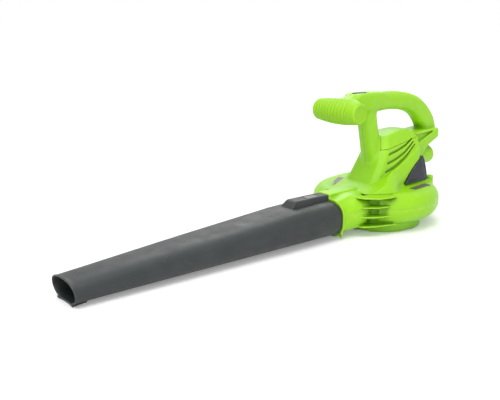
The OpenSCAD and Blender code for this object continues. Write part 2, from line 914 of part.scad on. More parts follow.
// Insulated leads, as round tubes through hand-set points
wire_r = 1.6;
wire_runs = [
    [[104, 4, 112], [90, 5, 112], [70, 8, 116], [58, 14, 128], [40, 16, 140], [10, 15, 142],
     [-4, 6, 141.5], [-10, 0, 139.5], [-15, 0, 133], [-24, 0, 130], [-27, 0, 134], [-30, 0, 147],
     [-35, 3, 162], [-40, 4, 180], [-46, 4, 200], [-50, 3, 208]],
    [[104, -4, 112], [90, -5, 112], [70, -8, 116], [58, -14, 128], [40, -17, 136], [20, -19, 138],
     [8, -22, 134], [6, -23, 131]]];

module wire(run, n = 8) {
    m = len(run) - 1;
    skin([for (j = [0:m]) let (a = run[max(j - 1, 0)], b = run[min(j + 1, m)],
        d = (b - a) / norm(b - a), u = cross(d, [0, 1, 0]) / norm(cross(d, [0, 1, 0])), v = cross(d, u))
        [for (i = [0:n - 1]) run[j] + wire_r * (cos(360 * i / n) * u + sin(360 * i / n) * v)]]);
}

module lead_wires() {
    color([0.12, 0.12, 0.12]) for (run = wire_runs) wire(run);
}

// ---- rotor ----

module motor_shaft() {
    color(steel) {
        translate([0, 0, shaft_z0]) cylinder(shaft_top - shaft_z0, r = shaft_r, $fn = 64);
    }
}

module armature_core() {
    slots = 12;
    color(steel) difference() {
        ring(shaft_r, armature_r, stator_z, stack_h);
        for (k = [0:slots - 1]) rotate(k * 360 / slots)
            box([armature_r - 6, armature_r + 1], [-0.9, 0.9], [stator_z - 1, stator_top + 1]);
    }
}

module armature_windings() {
    color(copper) {
        ring(shaft_r + 2, armature_r - 2, stator_z - 2, 2);
        ring(shaft_r + 2, armature_r - 2, stator_top, winding_h);
    }
}

module commutator() {
    bars = 24;
    color(copper) difference() {
        ring(shaft_r, commutator_r, commutator_z, commutator_h);
        for (k = [0:bars - 1]) rotate(k * 360 / bars)
            box([commutator_r - 1, commutator_r + 1], [-0.25, 0.25],
                [commutator_z - 1, commutator_z + commutator_h + 1]);
    }
}

module cooling_fan() {
    color(black) {
        ring(shaft_r, 8, fan_z, fan_h);
        ring(shaft_r, cool_r - 1, fan_z, 1.2);
        for (a = [0:30:330]) rotate(a) box([7, cool_r - 1.2], [-0.6, 0.6], [fan_z, fan_z + fan_h]);
    }
}

// Backward-curved blades under a back plate
module fan_wheel() {
    blade_t = 2;
    arc_r = 60;
    plate_z = wheel_z1 - plate_t;
    color(black) {
        ring(shaft_r, hub_r, wheel_z0 + 10, wheel_z1 - wheel_z0 - 10);
        ring(hub_r - 1, wheel_r, plate_z, plate_t);
        intersection() {
            for (k = [0:blades - 1]) rotate(k * 360 / blades) translate([34, arc_r - 8, 0])
                ring(arc_r - blade_t, arc_r, wheel_z0, plate_z - wheel_z0 + eps);
            ring(42, wheel_r, wheel_z0, big);
            union() for (k = [0:blades - 1]) rotate(k * 360 / blades) blade_sector();
        }
    }
}

module blade_sector() {
    translate([30, -10, wheel_z0]) cube([wheel_r, 44, wheel_z1 - wheel_z0]);
}

module fan_nut() {
    nut_h = 5;
    color(steel) translate([0, 0, wheel_z0 + 10 - nut_h]) difference() {
        cylinder(nut_h, r = 7, $fn = 6);
        translate([0, 0, -1]) cylinder(nut_h + 2, r = shaft_r, $fn = 64);
    }
}

// ---- tube and latch ----

module tube_hump() {
    hull() {
        box([-rim_x - hump_l, -rim_x - 1], [-hump_hw, hump_hw], [tube_top - 8, tube_top - 7]);
        box([-rim_x - hump_l + 2, -rim_x - 1], [-hump_hw + 0.5, hump_hw - 0.5], [tube_top - 6, tube_top - 3]);
        box([-rim_x - hump_l + 14, -rim_x - 1], [-hump_hw + 2, hump_hw - 2],
            [hump_top - 1, hump_top]);
    }
}

module blower_tube() {
    foot_hw = 22;
    foot_t = 3;
    color(dark) difference() {
        union() {
            tube_solid(-rim_x - slide_gap, mouth_x, 0, 26);
            tube_hump();
            // foot plate under the mouth
            box([mouth_x, mouth_x + foot_t], foot_hw * [-1, 1], [0, mouth_lift + 2.5]);
        }
        tube_solid(-rim_x + 1, mouth_x - 2, tube_wall, 26);
        box([-rim_x - tongue_l - 2, -rim_x], (tongue_hw + slide_gap) * [-1, 1],
            [tongue_z0 - 2, channel_top]);
        box(span(button_x, button_l / 2 + slide_gap), span(0, button_hw + slide_gap),
            [channel_top - 1, big]);
    }
}

module latch_button() {
    color(dark) {
        box(span(button_x, button_l / 2), span(0, button_hw), [button_z0, button_top]);
        box(span(button_x, button_l / 2 + skirt), span(0, button_hw + skirt),
            [button_z0, button_z0 + skirt_h]);
    }
}

module latch_spring() {
    coil_r = 4;
    wire_d = 0.7;
    turns = 5;
    color(steel) translate([button_x, 0, pocket_z]) for (k = [0:turns - 1])
        translate([0, 0, k * (spring_h - wire_d) / (turns - 1)]) difference() {
            cylinder(wire_d, r = coil_r, $fn = 64);
            translate([0, 0, -1]) cylinder(3, r = coil_r - wire_d, $fn = 64);
        }
}

fan_housing_lower();
fan_housing_upper();
intake_grille();
grille_screws();
housing_screws();
motor_tower();
motor_cap();
side_panel(-1);  // side_panel_right
side_panel(1);  // side_panel_left
handle_half(-1);  // handle_right
handle_half(1);  // handle_left
handle_screws();
front_grip();
grip_caps();
switch_bezel();
switch_module();
switch_rocker();
inlet_housing();
inlet_insert();
inlet_pins();
stator_core();
field_coils();
motor_base();
motor_bridge();
motor_bolts();
lower_bearing();
upper_bearing();
brush_holders();
carbon_brushes();
brush_springs();
suppressor();
lead_wires();
label_plates();
motor_shaft();
armature_core();
armature_windings();
commutator();
cooling_fan();
fan_wheel();
fan_nut();
blower_tube();
latch_button();
latch_spring();
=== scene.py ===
"""Looks of a corded leaf blower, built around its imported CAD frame.

Lengths in the shape functions are millimetres; objects are in metres.
The green mouldings are modelled as signed distance fields and meshed, so that
walls blend into each other as they do on moulded plastic. The tube, the cross
grip and the small parts are lofts and lathes.
"""
import math

import bmesh
import bpy
import numpy as np
import openvdb
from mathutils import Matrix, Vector


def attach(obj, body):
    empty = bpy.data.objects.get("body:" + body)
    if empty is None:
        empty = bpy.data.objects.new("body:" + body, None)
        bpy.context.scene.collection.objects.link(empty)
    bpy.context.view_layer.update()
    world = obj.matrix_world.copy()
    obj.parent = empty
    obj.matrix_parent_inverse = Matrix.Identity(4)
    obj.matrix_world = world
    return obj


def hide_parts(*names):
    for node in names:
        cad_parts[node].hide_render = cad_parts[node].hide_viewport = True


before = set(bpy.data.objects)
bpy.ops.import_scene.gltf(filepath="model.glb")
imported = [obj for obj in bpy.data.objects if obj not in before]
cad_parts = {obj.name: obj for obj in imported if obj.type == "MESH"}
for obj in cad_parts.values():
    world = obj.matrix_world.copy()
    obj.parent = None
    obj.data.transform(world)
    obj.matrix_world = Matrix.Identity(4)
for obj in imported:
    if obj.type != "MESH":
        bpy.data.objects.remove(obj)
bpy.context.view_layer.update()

MM = 0.001
FAR = 30.0

# ------------------------------------------------------------------ camera
camera_data = bpy.data.cameras.new("camera")
camera_data.lens = 52.34
camera_data.sensor_width = 36
camera_data.clip_start = 0.05
camera_data.clip_end = 50
camera = bpy.data.objects.new("camera", camera_data)
camera.location = (-1.00974, -0.85856, 0.37935)
looks_along = Vector((0.6144, 0.7473, -0.2531))
camera.rotation_mode = "QUATERNION"
camera.rotation_quaternion = looks_along.to_track_quat("-Z", "Y")
bpy.context.scene.collection.objects.link(camera)
bpy.context.scene.camera = camera


# --------------------------------------------------------------- materials
def linear(rgb):
    """A colour written as 0 to 255 in sRGB, as linear RGBA."""
    def channel(c):
        c /= 255
        return c / 12.92 if c <= 0.04045 else ((c + 0.055) / 1.055) ** 2.4
    return (*[channel(c) for c in rgb], 1.0)


class Nodes:
    """A material's node tree with short calls."""
    def __init__(self, name):
        self.material = bpy.data.materials.new(name)
        self.material.use_nodes = True
        self.tree = self.material.node_tree
        self.shader = self.tree.nodes["Principled BSDF"]
        self.place = self.new("ShaderNodeTexCoord").outputs["Object"]

    def new(self, kind, **inputs):
        node = self.tree.nodes.new(kind)
        for key, value in inputs.items():
            self.feed(node.inputs[key.replace("_", " ")], value)
        return node

    def feed(self, socket, value):
        if isinstance(value, bpy.types.NodeSocket):
            self.tree.links.new(value, socket)
        else:
            socket.default_value = value

    def noise(self, scale, detail=3.0, stretch=None, rough=0.55):
        place = self.place
        if stretch:
            place = self.new("ShaderNodeMapping", Vector=place, Scale=stretch).outputs[0]
        return self.new("ShaderNodeTexNoise", Vector=place, Scale=scale, Detail=detail,
                        Roughness=rough).outputs["Fac"]

    def ramp(self, value, low, high, to_low=0.0, to_high=1.0):
        node = self.new("ShaderNodeMapRange", Value=value)
        node.inputs["From Min"].default_value = low
        node.inputs["From Max"].default_value = high
        node.inputs["To Min"].default_value = to_low
        node.inputs["To Max"].default_value = to_high
        return node.outputs[0]

    def mix(self, factor, a, b):
        node = self.tree.nodes.new("ShaderNodeMix")
        node.data_type = "RGBA"
        self.feed(node.inputs[0], factor)
        self.feed(node.inputs[6], a)
        self.feed(node.inputs[7], b)
        return node.outputs[2]

    def times(self, a, b):
        node = self.tree.nodes.new("ShaderNodeMath")
        node.operation = "MULTIPLY"
        self.feed(node.inputs[0], a)
        self.feed(node.inputs[1], b)
        return node.outputs[0]

    def edges(self, low, high):
        """Share of paler edge, from how convex the mesh is, for rubbed wear and painted edge
        highlights.
        """
        point = self.new("ShaderNodeNewGeometry").outputs["Pointiness"]
        return self.ramp(point, low, high)

    def bump(self, height, distance, strength=1.0):
        node = self.new("ShaderNodeBump", Height=height, Strength=strength)
        node.inputs["Distance"].default_value = distance
        self.feed(self.shader.inputs["Normal"], node.outputs[0])


def plastic(name, base, dark, pale, rough, grain=900.0, grain_depth=0.00006, pale_edge_share=0.35,
            deep=None, shade=0.0):
    """Moulded plastic: soft colour drift, spark-eroded grain, paler edges of rubbed wear and
    painted highlight, painted shade in crevices.
    """
    n = Nodes(name)
    drift = n.noise(9.0, 2.0)
    mottle = n.noise(70.0, 4.0)
    colour = n.mix(n.ramp(drift, 0.35, 0.65), linear(base), linear(dark))
    colour = n.mix(n.ramp(mottle, 0.52, 0.75, 0.0, 0.22), colour, linear(pale))
    # paler convex edges: partly rubbed wear, partly a painted highlight where rounded edges catch
    # the light
    edge_wear_and_highlight = n.times(n.edges(0.507, 0.54), n.ramp(n.noise(160.0, 3.0), 0.36, 0.58, 0.15, pale_edge_share))
    colour = n.mix(edge_wear_and_highlight, colour, linear(pale))
    # painted shade: ambient occlusion pulls the colour towards the deep colour in crevices,
    # recesses and between parts
    crevice_occlusion = n.new("ShaderNodeAmbientOcclusion", Distance=0.016)
    crevice_occlusion.samples = 6
    painted_crevice_shade = n.ramp(crevice_occlusion.outputs["AO"], 0.3, 0.95, shade, 0.0)
    colour = n.mix(painted_crevice_shade, colour, linear(deep or dark))
    n.feed(n.shader.inputs["Base Color"], colour)
    n.feed(n.shader.inputs["Roughness"],
           n.ramp(n.noise(28.0, 4.0), 0.3, 0.7, rough - 0.06, rough + 0.07))
    n.bump(n.noise(grain, 2.0), grain_depth, 0.5)
    return n.material


def metal(name, base, tint, rough, stretch=(1.0, 1.0, 1.0), scale=300.0):
    """Bare metal with drawn or turned streaks and a little tarnish."""
    n = Nodes(name)
    streak = n.noise(scale, 3.0, stretch)
    tarnish = n.noise(45.0, 4.0)
    colour = n.mix(n.ramp(streak, 0.35, 0.65, 0.0, 0.5), linear(base), linear(tint))
    colour = n.mix(n.ramp(tarnish, 0.5, 0.75, 0.0, 0.3), colour, linear(tint))
    n.feed(n.shader.inputs["Base Color"], colour)
    n.shader.inputs["Metallic"].default_value = 1.0
    n.feed(n.shader.inputs["Roughness"], n.ramp(streak, 0.3, 0.7, rough - 0.08, rough + 0.1))
    n.bump(streak, 0.00003, 0.4)
    return n.material


def tube_plastic():
    """Dark grey-green tube: faint streaks along its length, dust specks, rubbed lip."""
    n = Nodes("tube_plastic")
    base, deep, pale = linear((47, 52, 52)), linear((38, 42, 43)), linear((80, 82, 80))
    along = n.noise(26.0, 4.0, (0.12, 1.0, 1.0))
    cloud = n.noise(14.0, 3.0)
    colour = n.mix(n.ramp(along, 0.35, 0.68), base, deep)
    colour = n.mix(n.ramp(cloud, 0.5, 0.8, 0.0, 0.25), colour, pale)
    specks = n.ramp(n.noise(420.0, 2.0), 0.735, 0.76, 0.0, 0.55)
    colour = n.mix(specks, colour, linear((150, 152, 150)))
    pale_edge_share = n.times(n.edges(0.53, 0.6), n.ramp(n.noise(120.0, 3.0), 0.35, 0.6, 0.0, 0.55))
    colour = n.mix(pale_edge_share, colour, linear((104, 105, 101)))
    n.feed(n.shader.inputs["Base Color"], colour)
    n.feed(n.shader.inputs["Roughness"], n.ramp(n.noise(40.0, 4.0), 0.3, 0.7, 0.4, 0.56))
    n.shader.inputs["Specular IOR Level"].default_value = 0.45
    n.bump(n.noise(1100.0, 2.0), 0.00005, 0.45)
    return n.material


def label_foil():
    """Blank rating plate: a brushed, slightly warm grey foil."""
    n = Nodes("label_foil")
    brushed = n.noise(500.0, 3.0, (0.05, 1.0, 1.0))
    colour = n.mix(n.ramp(brushed, 0.3, 0.7), linear((96, 92, 88)), linear((132, 124, 112)))
    colour = n.mix(n.ramp(n.noise(60.0, 3.0), 0.55, 0.8, 0.0, 0.4), colour, linear((70, 68, 66)))
    n.feed(n.shader.inputs["Base Color"], colour)
    n.shader.inputs["Metallic"].default_value = 0.35
    n.feed(n.shader.inputs["Roughness"], n.ramp(brushed, 0.3, 0.7, 0.32, 0.5))
    n.bump(brushed, 0.00002, 0.4)
    return n.material


# the deep colours of the green mouldings are painted shade, laid into their crevices and recesses
# the pale edge share of each plastic is partly rubbed wear, partly a painted edge highlight
GREEN = plastic("green_moulding", (150, 212, 4), (143, 206, 1), (178, 222, 58), 0.4, pale_edge_share=0.75,
                deep=(70, 122, 0), shade=0.75)
GREEN_GRIP = plastic("green_grip", (148, 208, 6), (138, 198, 2), (168, 216, 50), 0.55,
                     grain=1400.0, grain_depth=0.00009, pale_edge_share=0.4, deep=(78, 130, 0), shade=0.8)
BLACK = plastic("black_plastic", (26, 26, 28), (18, 18, 20), (58, 58, 60), 0.42)
PANEL = plastic("panel_plastic", (38, 41, 50), (31, 34, 43), (74, 78, 86), 0.5,
                grain=1500.0, grain_depth=0.00008, pale_edge_share=0.5)
BUTTON = plastic("button_plastic", (88, 89, 86), (70, 71, 70), (126, 126, 120), 0.4, pale_edge_share=0.6)
FAN = plastic("fan_plastic", (40, 41, 43), (30, 31, 33), (70, 71, 73), 0.4)
SLEEVE = plastic("wire_sleeve", (34, 34, 38), (24, 24, 28), (66, 66, 70), 0.36)
FILM = plastic("capacitor_film", (196, 176, 60), (176, 156, 44), (216, 200, 110), 0.34)
CARBON = plastic("carbon", (38, 38, 40), (26, 26, 28), (64, 64, 66), 0.62, grain=2200.0)
TUBE = tube_plastic()
LABEL = label_foil()
SCREW = metal("screw_steel", (150, 152, 156), (104, 104, 106), 0.34)
BRIGHT = metal("bright_steel", (196, 198, 202), (150, 150, 154), 0.24, (1.0, 1.0, 8.0))
LAMINATION = metal("lamination_steel", (128, 130, 136), (72, 72, 76), 0.42, (1.0, 1.0, 40.0), 60.0)
BRONZE = metal("bearing_bronze", (178, 138, 78), (120, 88, 46), 0.4)
COPPER = metal("copper", (196, 118, 66), (134, 70, 36), 0.34, (1.0, 1.0, 20.0), 120.0)
BRASS = metal("brush_brass", (196, 164, 88), (142, 112, 52), 0.36)


# ------------------------------------------------------------ fields
def smin(a, b, k):
    """Smooth union of two distances over a blend of k."""
    if k <= 0:
        return np.minimum(a, b)
    h = np.clip(0.5 + 0.5 * (b - a) / k, 0, 1)
    return b + (a - b) * h - k * h * (1 - h)


def smax(a, b, k):
    return -smin(-a, -b, k)


def smooth_step(v, low, high):
    t = np.clip((v - low) / (high - low), 0, 1)
    return t * t * (3 - 2 * t)


class Field:
    """Signed distances on a grid, in millimetres, negative inside."""
    def __init__(self, lo, hi, step):
        self.lo = np.array(lo, float)
        self.step = step
        self.size = np.ceil((np.array(hi, float) - self.lo) / step).astype(int) + 1
        self.d = np.full(self.size, FAR, np.float32)

    def window(self, lo, hi):
        a = np.clip(np.floor((np.array(lo) - self.lo) / self.step).astype(int), 0, self.size)
        b = np.clip(np.ceil((np.array(hi) - self.lo) / self.step).astype(int) + 1, 0, self.size)
        axes = [np.arange(i, j, dtype=np.float32) * self.step + np.float32(base)
                for i, j, base in zip(a, b, self.lo)]
        x, y, z = axes
        return (tuple(slice(i, j) for i, j in zip(a, b)),
                (x[:, None, None], y[None, :, None], z[None, None, :]))

    def everywhere(self):
        return self.window(self.lo, self.lo + self.step * (self.size - 1))[1]

    def add(self, shape, lo, hi, k=0.0):
        s, xyz = self.window(lo, hi)
        self.d[s] = smin(self.d[s], shape(*xyz), k)

    def cut(self, shape, lo, hi, k=0.0):
        s, xyz = self.window(lo, hi)
        self.d[s] = smax(self.d[s], -shape(*xyz), k)

    def piece(self, name, distances, keep=1.0):
        """Mesh object of another field on this grid, with normals from its gradient."""
        voxels = np.clip(distances / self.step, -3, 3).astype(np.float32)
        for axis in range(3):
            ends = [slice(None)] * 3
            for end in (0, -1):
                ends[axis] = end
                voxels[tuple(ends)] = 3
        grid = openvdb.FloatGrid(3.0)
        grid.copyFromArray(voxels)
        points, tris, quads = grid.convertToPolygons(isovalue=0.0, adaptivity=0.0)
        points = points.astype(float) * self.step + self.lo
        obj = mesh_object(name, points, [p for p in (tris, quads) if len(p)])
        if signed_volume(obj.data) < 0:
            obj.data.flip_normals()
        if keep < 1:
            thin_out(obj, keep)
        self.set_normals(obj.data, distances)
        return obj

    def set_normals(self, mesh, distances):
        n = len(mesh.vertices)
        points = np.zeros(n * 3, np.float32)
        mesh.vertices.foreach_get("co", points)
        where = (points.reshape(-1, 3) / MM - self.lo) / self.step
        normal = np.zeros((n, 3))
        for axis in range(3):
            for side in (1, -1):
                p = where.copy()
                p[:, axis] += side * 0.6
                normal[:, axis] += side * sample(distances, p)
        length = np.linalg.norm(normal, axis=1, keepdims=True)
        normal = np.where(length > 1e-6, normal / np.maximum(length, 1e-6), (0, 0, 1))
        mesh.normals_split_custom_set_from_vertices(normal.tolist())


def sample(array, where):
    """Trilinear value of a grid at fractional indices."""
    top = np.array(array.shape) - 2
    base = np.clip(np.floor(where).astype(int), 0, top)
    f = np.clip(where - base, 0, 1)
    value = 0
    for i in (0, 1):
        for j in (0, 1):
            for k in (0, 1):
                weight = ((f[:, 0] if i else 1 - f[:, 0]) * (f[:, 1] if j else 1 - f[:, 1])
                          * (f[:, 2] if k else 1 - f[:, 2]))
                value = value + weight * array[base[:, 0] + i, base[:, 1] + j, base[:, 2] + k]
    return value


def mesh_object(name, points, polygons, smooth=True):
    """Object from points in millimetres and arrays or lists of polygons."""
    mesh = bpy.data.meshes.new(name)
    points = np.asarray(points, float) * MM
    mesh.vertices.add(len(points))
    mesh.vertices.foreach_set("co", points.astype(np.float32).ravel())
    sizes = np.concatenate([np.full(len(p), np.asarray(p).shape[1]) for p in polygons])
    corners = np.concatenate([np.asarray(p).ravel() for p in polygons]).astype(np.int32)
    mesh.loops.add(len(corners))
    mesh.loops.foreach_set("vertex_index", corners)
    mesh.polygons.add(len(sizes))
    starts = np.concatenate([[0], np.cumsum(sizes)[:-1]]).astype(np.int32)
    mesh.polygons.foreach_set("loop_start", starts)
    mesh.polygons.foreach_set("use_smooth", np.full(len(sizes), smooth))
    mesh.update(calc_edges=True)
    mesh.validate()
    obj = bpy.data.objects.new(name, mesh)
    bpy.context.scene.collection.objects.link(obj)
    return obj


def signed_volume(mesh):
    mesh.calc_loop_triangles()
    tri = np.zeros(len(mesh.loop_triangles) * 3, np.int32)
    mesh.loop_triangles.foreach_get("vertices", tri)
    co = np.zeros(len(mesh.vertices) * 3, np.float32)
    mesh.vertices.foreach_get("co", co)
    a, b, c = (co.reshape(-1, 3)[tri.reshape(-1, 3)[:, i]] for i in range(3))
    return float(np.einsum("ij,ij->i", a, np.cross(b, c)).sum())


def apply_modifiers(obj):
    graph = bpy.context.evaluated_depsgraph_get()
    made = bpy.data.meshes.new_from_object(obj.evaluated_get(graph))
    obj.modifiers.clear()
    obj.data = made


def thin_out(obj, keep):
    change = obj.modifiers.new("thin", "DECIMATE")
    change.ratio = keep
    apply_modifiers(obj)
    obj.data.polygons.foreach_set("use_smooth", np.full(len(obj.data.polygons), True))


def finish_piece(obj, body, slot, material, *nodes):
    obj.data.materials.clear()
    obj.data.materials.append(material)
    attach(obj, body)
    if nodes:
        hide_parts(*nodes)
    return obj


# shapes that return distances
def rounded_box(x, y, z, lo, hi, r):
    c = [(a + b) / 2 for a, b in zip(lo, hi)]
    h = [(b - a) / 2 - r for a, b in zip(lo, hi)]
    qx, qy, qz = abs(x - c[0]) - h[0], abs(y - c[1]) - h[1], abs(z - c[2]) - h[2]
    outside = np.sqrt(np.maximum(qx, 0) ** 2 + np.maximum(qy, 0) ** 2 + np.maximum(qz, 0) ** 2)
    return outside + np.minimum(np.maximum(qx, np.maximum(qy, qz)), 0) - r


def rounded_disc(x, y, z, centre, radius, z0, z1, edge):
    a = np.hypot(x - centre[0], y - centre[1]) - (radius - edge)
    b = abs(z - (z0 + z1) / 2) - ((z1 - z0) / 2 - edge)
    outside = np.sqrt(np.maximum(a, 0) ** 2 + np.maximum(b, 0) ** 2)
    return outside + np.minimum(np.maximum(a, b), 0) - edge


def polygon_distance(u, v, points):
    """Signed distance in a plane to a closed polygon."""
    best = None
    inside = None
    n = len(points)
    for i in range(n):
        ax, ay = points[i]
        bx, by = points[(i + 1) % n]
        ex, ey = bx - ax, by - ay
        wx, wy = u - ax, v - ay
        t = np.clip((wx * ex + wy * ey) / (ex * ex + ey * ey), 0, 1)
        d = (wx - ex * t) ** 2 + (wy - ey * t) ** 2
        best = d if best is None else np.minimum(best, d)
        crosses = ((ay <= v) != (by <= v)) & (
            (wx * ey - wy * ex) * (1 if ey > 0 else -1) < 0)
        inside = crosses if inside is None else inside ^ crosses
    return np.where(inside, -1, 1) * np.sqrt(best)


def plane(x, z, at, to):
    """Distance above the line at to to, in the XZ plane (left of its direction)."""
    dx, dz = to[0] - at[0], to[1] - at[1]
    length = math.hypot(dx, dz)
    return ((z - at[1]) * dx - (x - at[0]) * dz) / length


def curve_through(points, per_span):
    """Catmull-Rom points through rows of numbers."""
    p = np.array(points, float)
    p = np.vstack([2 * p[0] - p[1], p, 2 * p[-1] - p[-2]])
    made = []
    for i in range(1, len(p) - 2):
        a, b, c, d = p[i - 1], p[i], p[i + 1], p[i + 2]
        for j in range(per_span):
            t = j / per_span
            made.append(0.5 * (2 * b + (c - a) * t + (2 * a - 5 * b + 4 * c - d) * t * t
                               + (3 * b - a - 3 * c + d) * t ** 3))
    made.append(p[-2])
    return np.array(made)


def along_path(x, z, path):
    """(distance to a line in the XZ plane, half height there, arc length there,
    which side of it)."""
    best = np.full(np.broadcast(x, z).shape, 1e9, np.float32)
    half = np.zeros_like(best)
    arc = np.zeros_like(best)
    side = np.zeros_like(best)
    run = 0.0
    for a, b in zip(path[:-1], path[1:]):
        ex, ez = b[0] - a[0], b[1] - a[1]
        length = math.hypot(ex, ez)
        t = np.clip(((x - a[0]) * ex + (z - a[1]) * ez) / length ** 2, 0, 1)
        d = np.hypot(x - a[0] - ex * t, z - a[1] - ez * t)
        near = d < best
        best = np.where(near, d, best)
        half = np.where(near, a[2] + (b[2] - a[2]) * t, half)
        arc = np.where(near, run + length * t, arc)
        side = np.where(near, np.sign(ex * (z - a[1]) - ez * (x - a[0])), side)
        run += length
    return best, half, arc, side


# ------------------------------------------------------------ fan housing
SCROLL = (9.44, 11.66)
VOLUTE_R = 115.0
WALL = 2.5
TOP = 71.0
SPLIT = 43.5
LAP = 0.7           # how far each housing half passes the parting plane
RIM_X = -140.0      # rear end of the tube, front face of the rim
COLLAR_R = 80
COLLAR_BORE_R = 76
COLLAR_H = 16
INTAKE_R = 62
BOSS = (102, -39)
RIBS = ((18.5, 76), (35.5, 80), (52.5, 80), (69.2, 84))     # height, reach


def duct(x, y, z, inset=0.0):
    """Outlet duct, whose right side swells and curls in before the scroll."""
    bottom = 3.2 + 0.24 * np.clip(x + 140, 0, 60)
    top = 65.2 + 5.6 * smooth_step(x, -139, -100) - far_dip(x, y)
    centre = (top + bottom) / 2
    swell = 9.5 * smooth_step(x, -138, -92) * (y < 0)
    corner = 25 - 4 * smooth_step(x, -130, -95)
    a = abs(y) - (48.6 + swell - corner)
    b = abs(z - centre) - ((top - bottom) / 2 - corner)
    return (np.sqrt(np.maximum(a, 0) ** 2 + np.maximum(b, 0) ** 2)
            + np.minimum(np.maximum(a, b), 0) - corner + inset)


def far_dip(x, y):
    """How far the scroll's top lies lower beside the spine, on the far side."""
    return 5.2 * smooth_step(y, 12, 40) * smooth_step(-x, -70, 10)


def scroll(x, y, z, inset=0.0):
    """Rounded disc whose top dips towards the far front."""
    dip = far_dip(x, y)
    stretch = (TOP - 16) / (TOP - 16 - dip)
    return rounded_disc(x, y, 16 + (z - 16) * stretch, SCROLL, VOLUTE_R - inset, 16 + inset,
                        TOP - inset * stretch, 24 - inset)


def housing_outside(field):
    field.add(scroll, (-120, -115, 10), (135, 135, 78))
    # a deep notch sets the duct's curled end apart from the scroll
    field.cut(lambda x, y, z: np.minimum(
        np.hypot(x + 79, y + 64) - 10.5, np.hypot(x + 77, y + 79) - 15.5) + 0 * z,
        (-112, -106, 0), (-50, -40, 80), 4)

    def duct_end(x, y, z):
        d = duct(x, y, z)
        d = smax(d, x + 80 - 0 * y, np.float32(12))
        return smax(d, RIM_X - x, 1)
    field.add(duct_end, (-145, -72, 0), (-60, 62, 78), 4)
    field.add(lambda x, y, z: smax(smax(duct(x, y, z), x + 50, 4), RIM_X - x, 1)
              + 60 * smooth_step(-y, 34, 40), (-145, -52, 0), (-40, 62, 78), 4)
    # rim flange
    field.add(lambda x, y, z: smax(duct(np.minimum(x, -139.9), y, z, -1.5),
                                   abs(x + 138.4) - 1.6, 1), (-145, -56, 0), (-132, 56, 78), 1.2)
    # spine from the rim to the tower
    field.add(lambda x, y, z: rounded_box(x, y, z, (-139.8, -14.5, 56), (-48, 14.5, 74.3), 3),
              (-145, -20, 55), (-45, 20, 78), 4)
    # boss of the housing screw beside the tower, with its hole
    field.add(lambda x, y, z: rounded_disc(x, y, z, BOSS, 7.4, 40, 78, 2),
              (85, -55, 45), (118, -22, 82), 5)
    field.cut(lambda x, y, z: rounded_disc(x, y, z, BOSS, 3.2, 73, 95, 1),
              (95, -46, 68), (110, -30, 85), 0.8)
    # ribs across the notch
    for level, reach in RIBS:
        outline = [(-108, -46), (-104, -60), (-84, -reach + 4), (-62, -reach - 2),
                   (-44, -84), (-55, -48)]
        field.add(lambda x, y, z, o=outline, l=level: smax(
            polygon_distance(x, y, o), abs(z - l) - 1.25, 0.8),
            (-112, -92, level - 5), (-36, -40, level + 5), 1.5)
    # foot nub under the rim
    field.add(lambda x, y, z: rounded_box(x, y, z, (-140, -46.5, 3.4), (-136.5, -40, 14), 1.5),
              (-144, -50, 0), (-132, -36, 18), 1.5)


def housing_inside(x, y, z):
    d = duct(x, y, z, WALL)
    d = smax(d, x + 80 - np.where(y < -34, 0, 40), 6)
    return np.minimum(scroll(x, y, z, WALL), d)


def collar(x, y, z):
    r = np.hypot(x, y)
    d = smax(smax(r - COLLAR_R, COLLAR_BORE_R - r, 1.0), np.maximum(z - 19, -z), 1.0)
    angle = np.degrees(np.arctan2(y, x)) - 24
    turn = np.radians((angle + 30) % 60 - 30)
    notch = smax(abs(r * np.sin(turn)) - 11, z - 1.6, 0.8)
    return smax(d, -np.where(r > 60, notch, 9), 0.8)


def build_housing():
    step = 1.15
    field = Field((-146, -108, -4), (130, 132, 83), step)
    housing_outside(field)
    x, y, z = field.everywhere()
    outside = field.d.copy()
    inside = housing_inside(x, y, z)
    hollow = np.maximum(inside, outside + WALL)
    field.d = np.maximum(outside, -hollow).astype(np.float32)
    # the way out through the rim, and the shaft's hole in the top
    field.cut(lambda x, y, z: duct(np.minimum(x, -139.9), y, z, 4.5) + 0 * x,
              (-146, -60, -2), (-132, 60, 80))
    field.cut(lambda x, y, z: np.hypot(x, y) - 15 + 0 * z, (-20, -20, 62), (20, 20, 80))
    # collar with the intake through its middle
    field.add(collar, (-84, -84, -3), (84, 84, 20), 1.5)
    field.cut(lambda x, y, z: np.hypot(x, y) - INTAKE_R + 0 * z, (-66, -66, -3), (66, 66, 22))
    field.cut(lambda x, y, z: smax(np.hypot(x, y) - COLLAR_BORE_R, z - COLLAR_H, 0.3),
              (-80, -80, -4), (80, 80, 18))
    # the halves lap, so that no line shows between them
    lower = field.piece("fan_housing_lower_shell", np.maximum(field.d, z - (SPLIT + LAP)), 0.32)
    upper = field.piece("fan_housing_upper_shell", np.maximum(field.d, SPLIT - LAP - z), 0.32)
    finish_piece(lower, "root", "green_housing", GREEN, "fan_housing_lower")
    finish_piece(upper, "root", "green_housing", GREEN, "fan_housing_upper")


# ------------------------------------------------------------ spigot and tube
TUBE_L = 484.0
MOUTH_X = RIM_X - TUBE_L
LIP_L = 6
SLOT_END = -196.0    # front end of the slot that the latch tongue runs in


def share(x):
    return (RIM_X - x) / TUBE_L


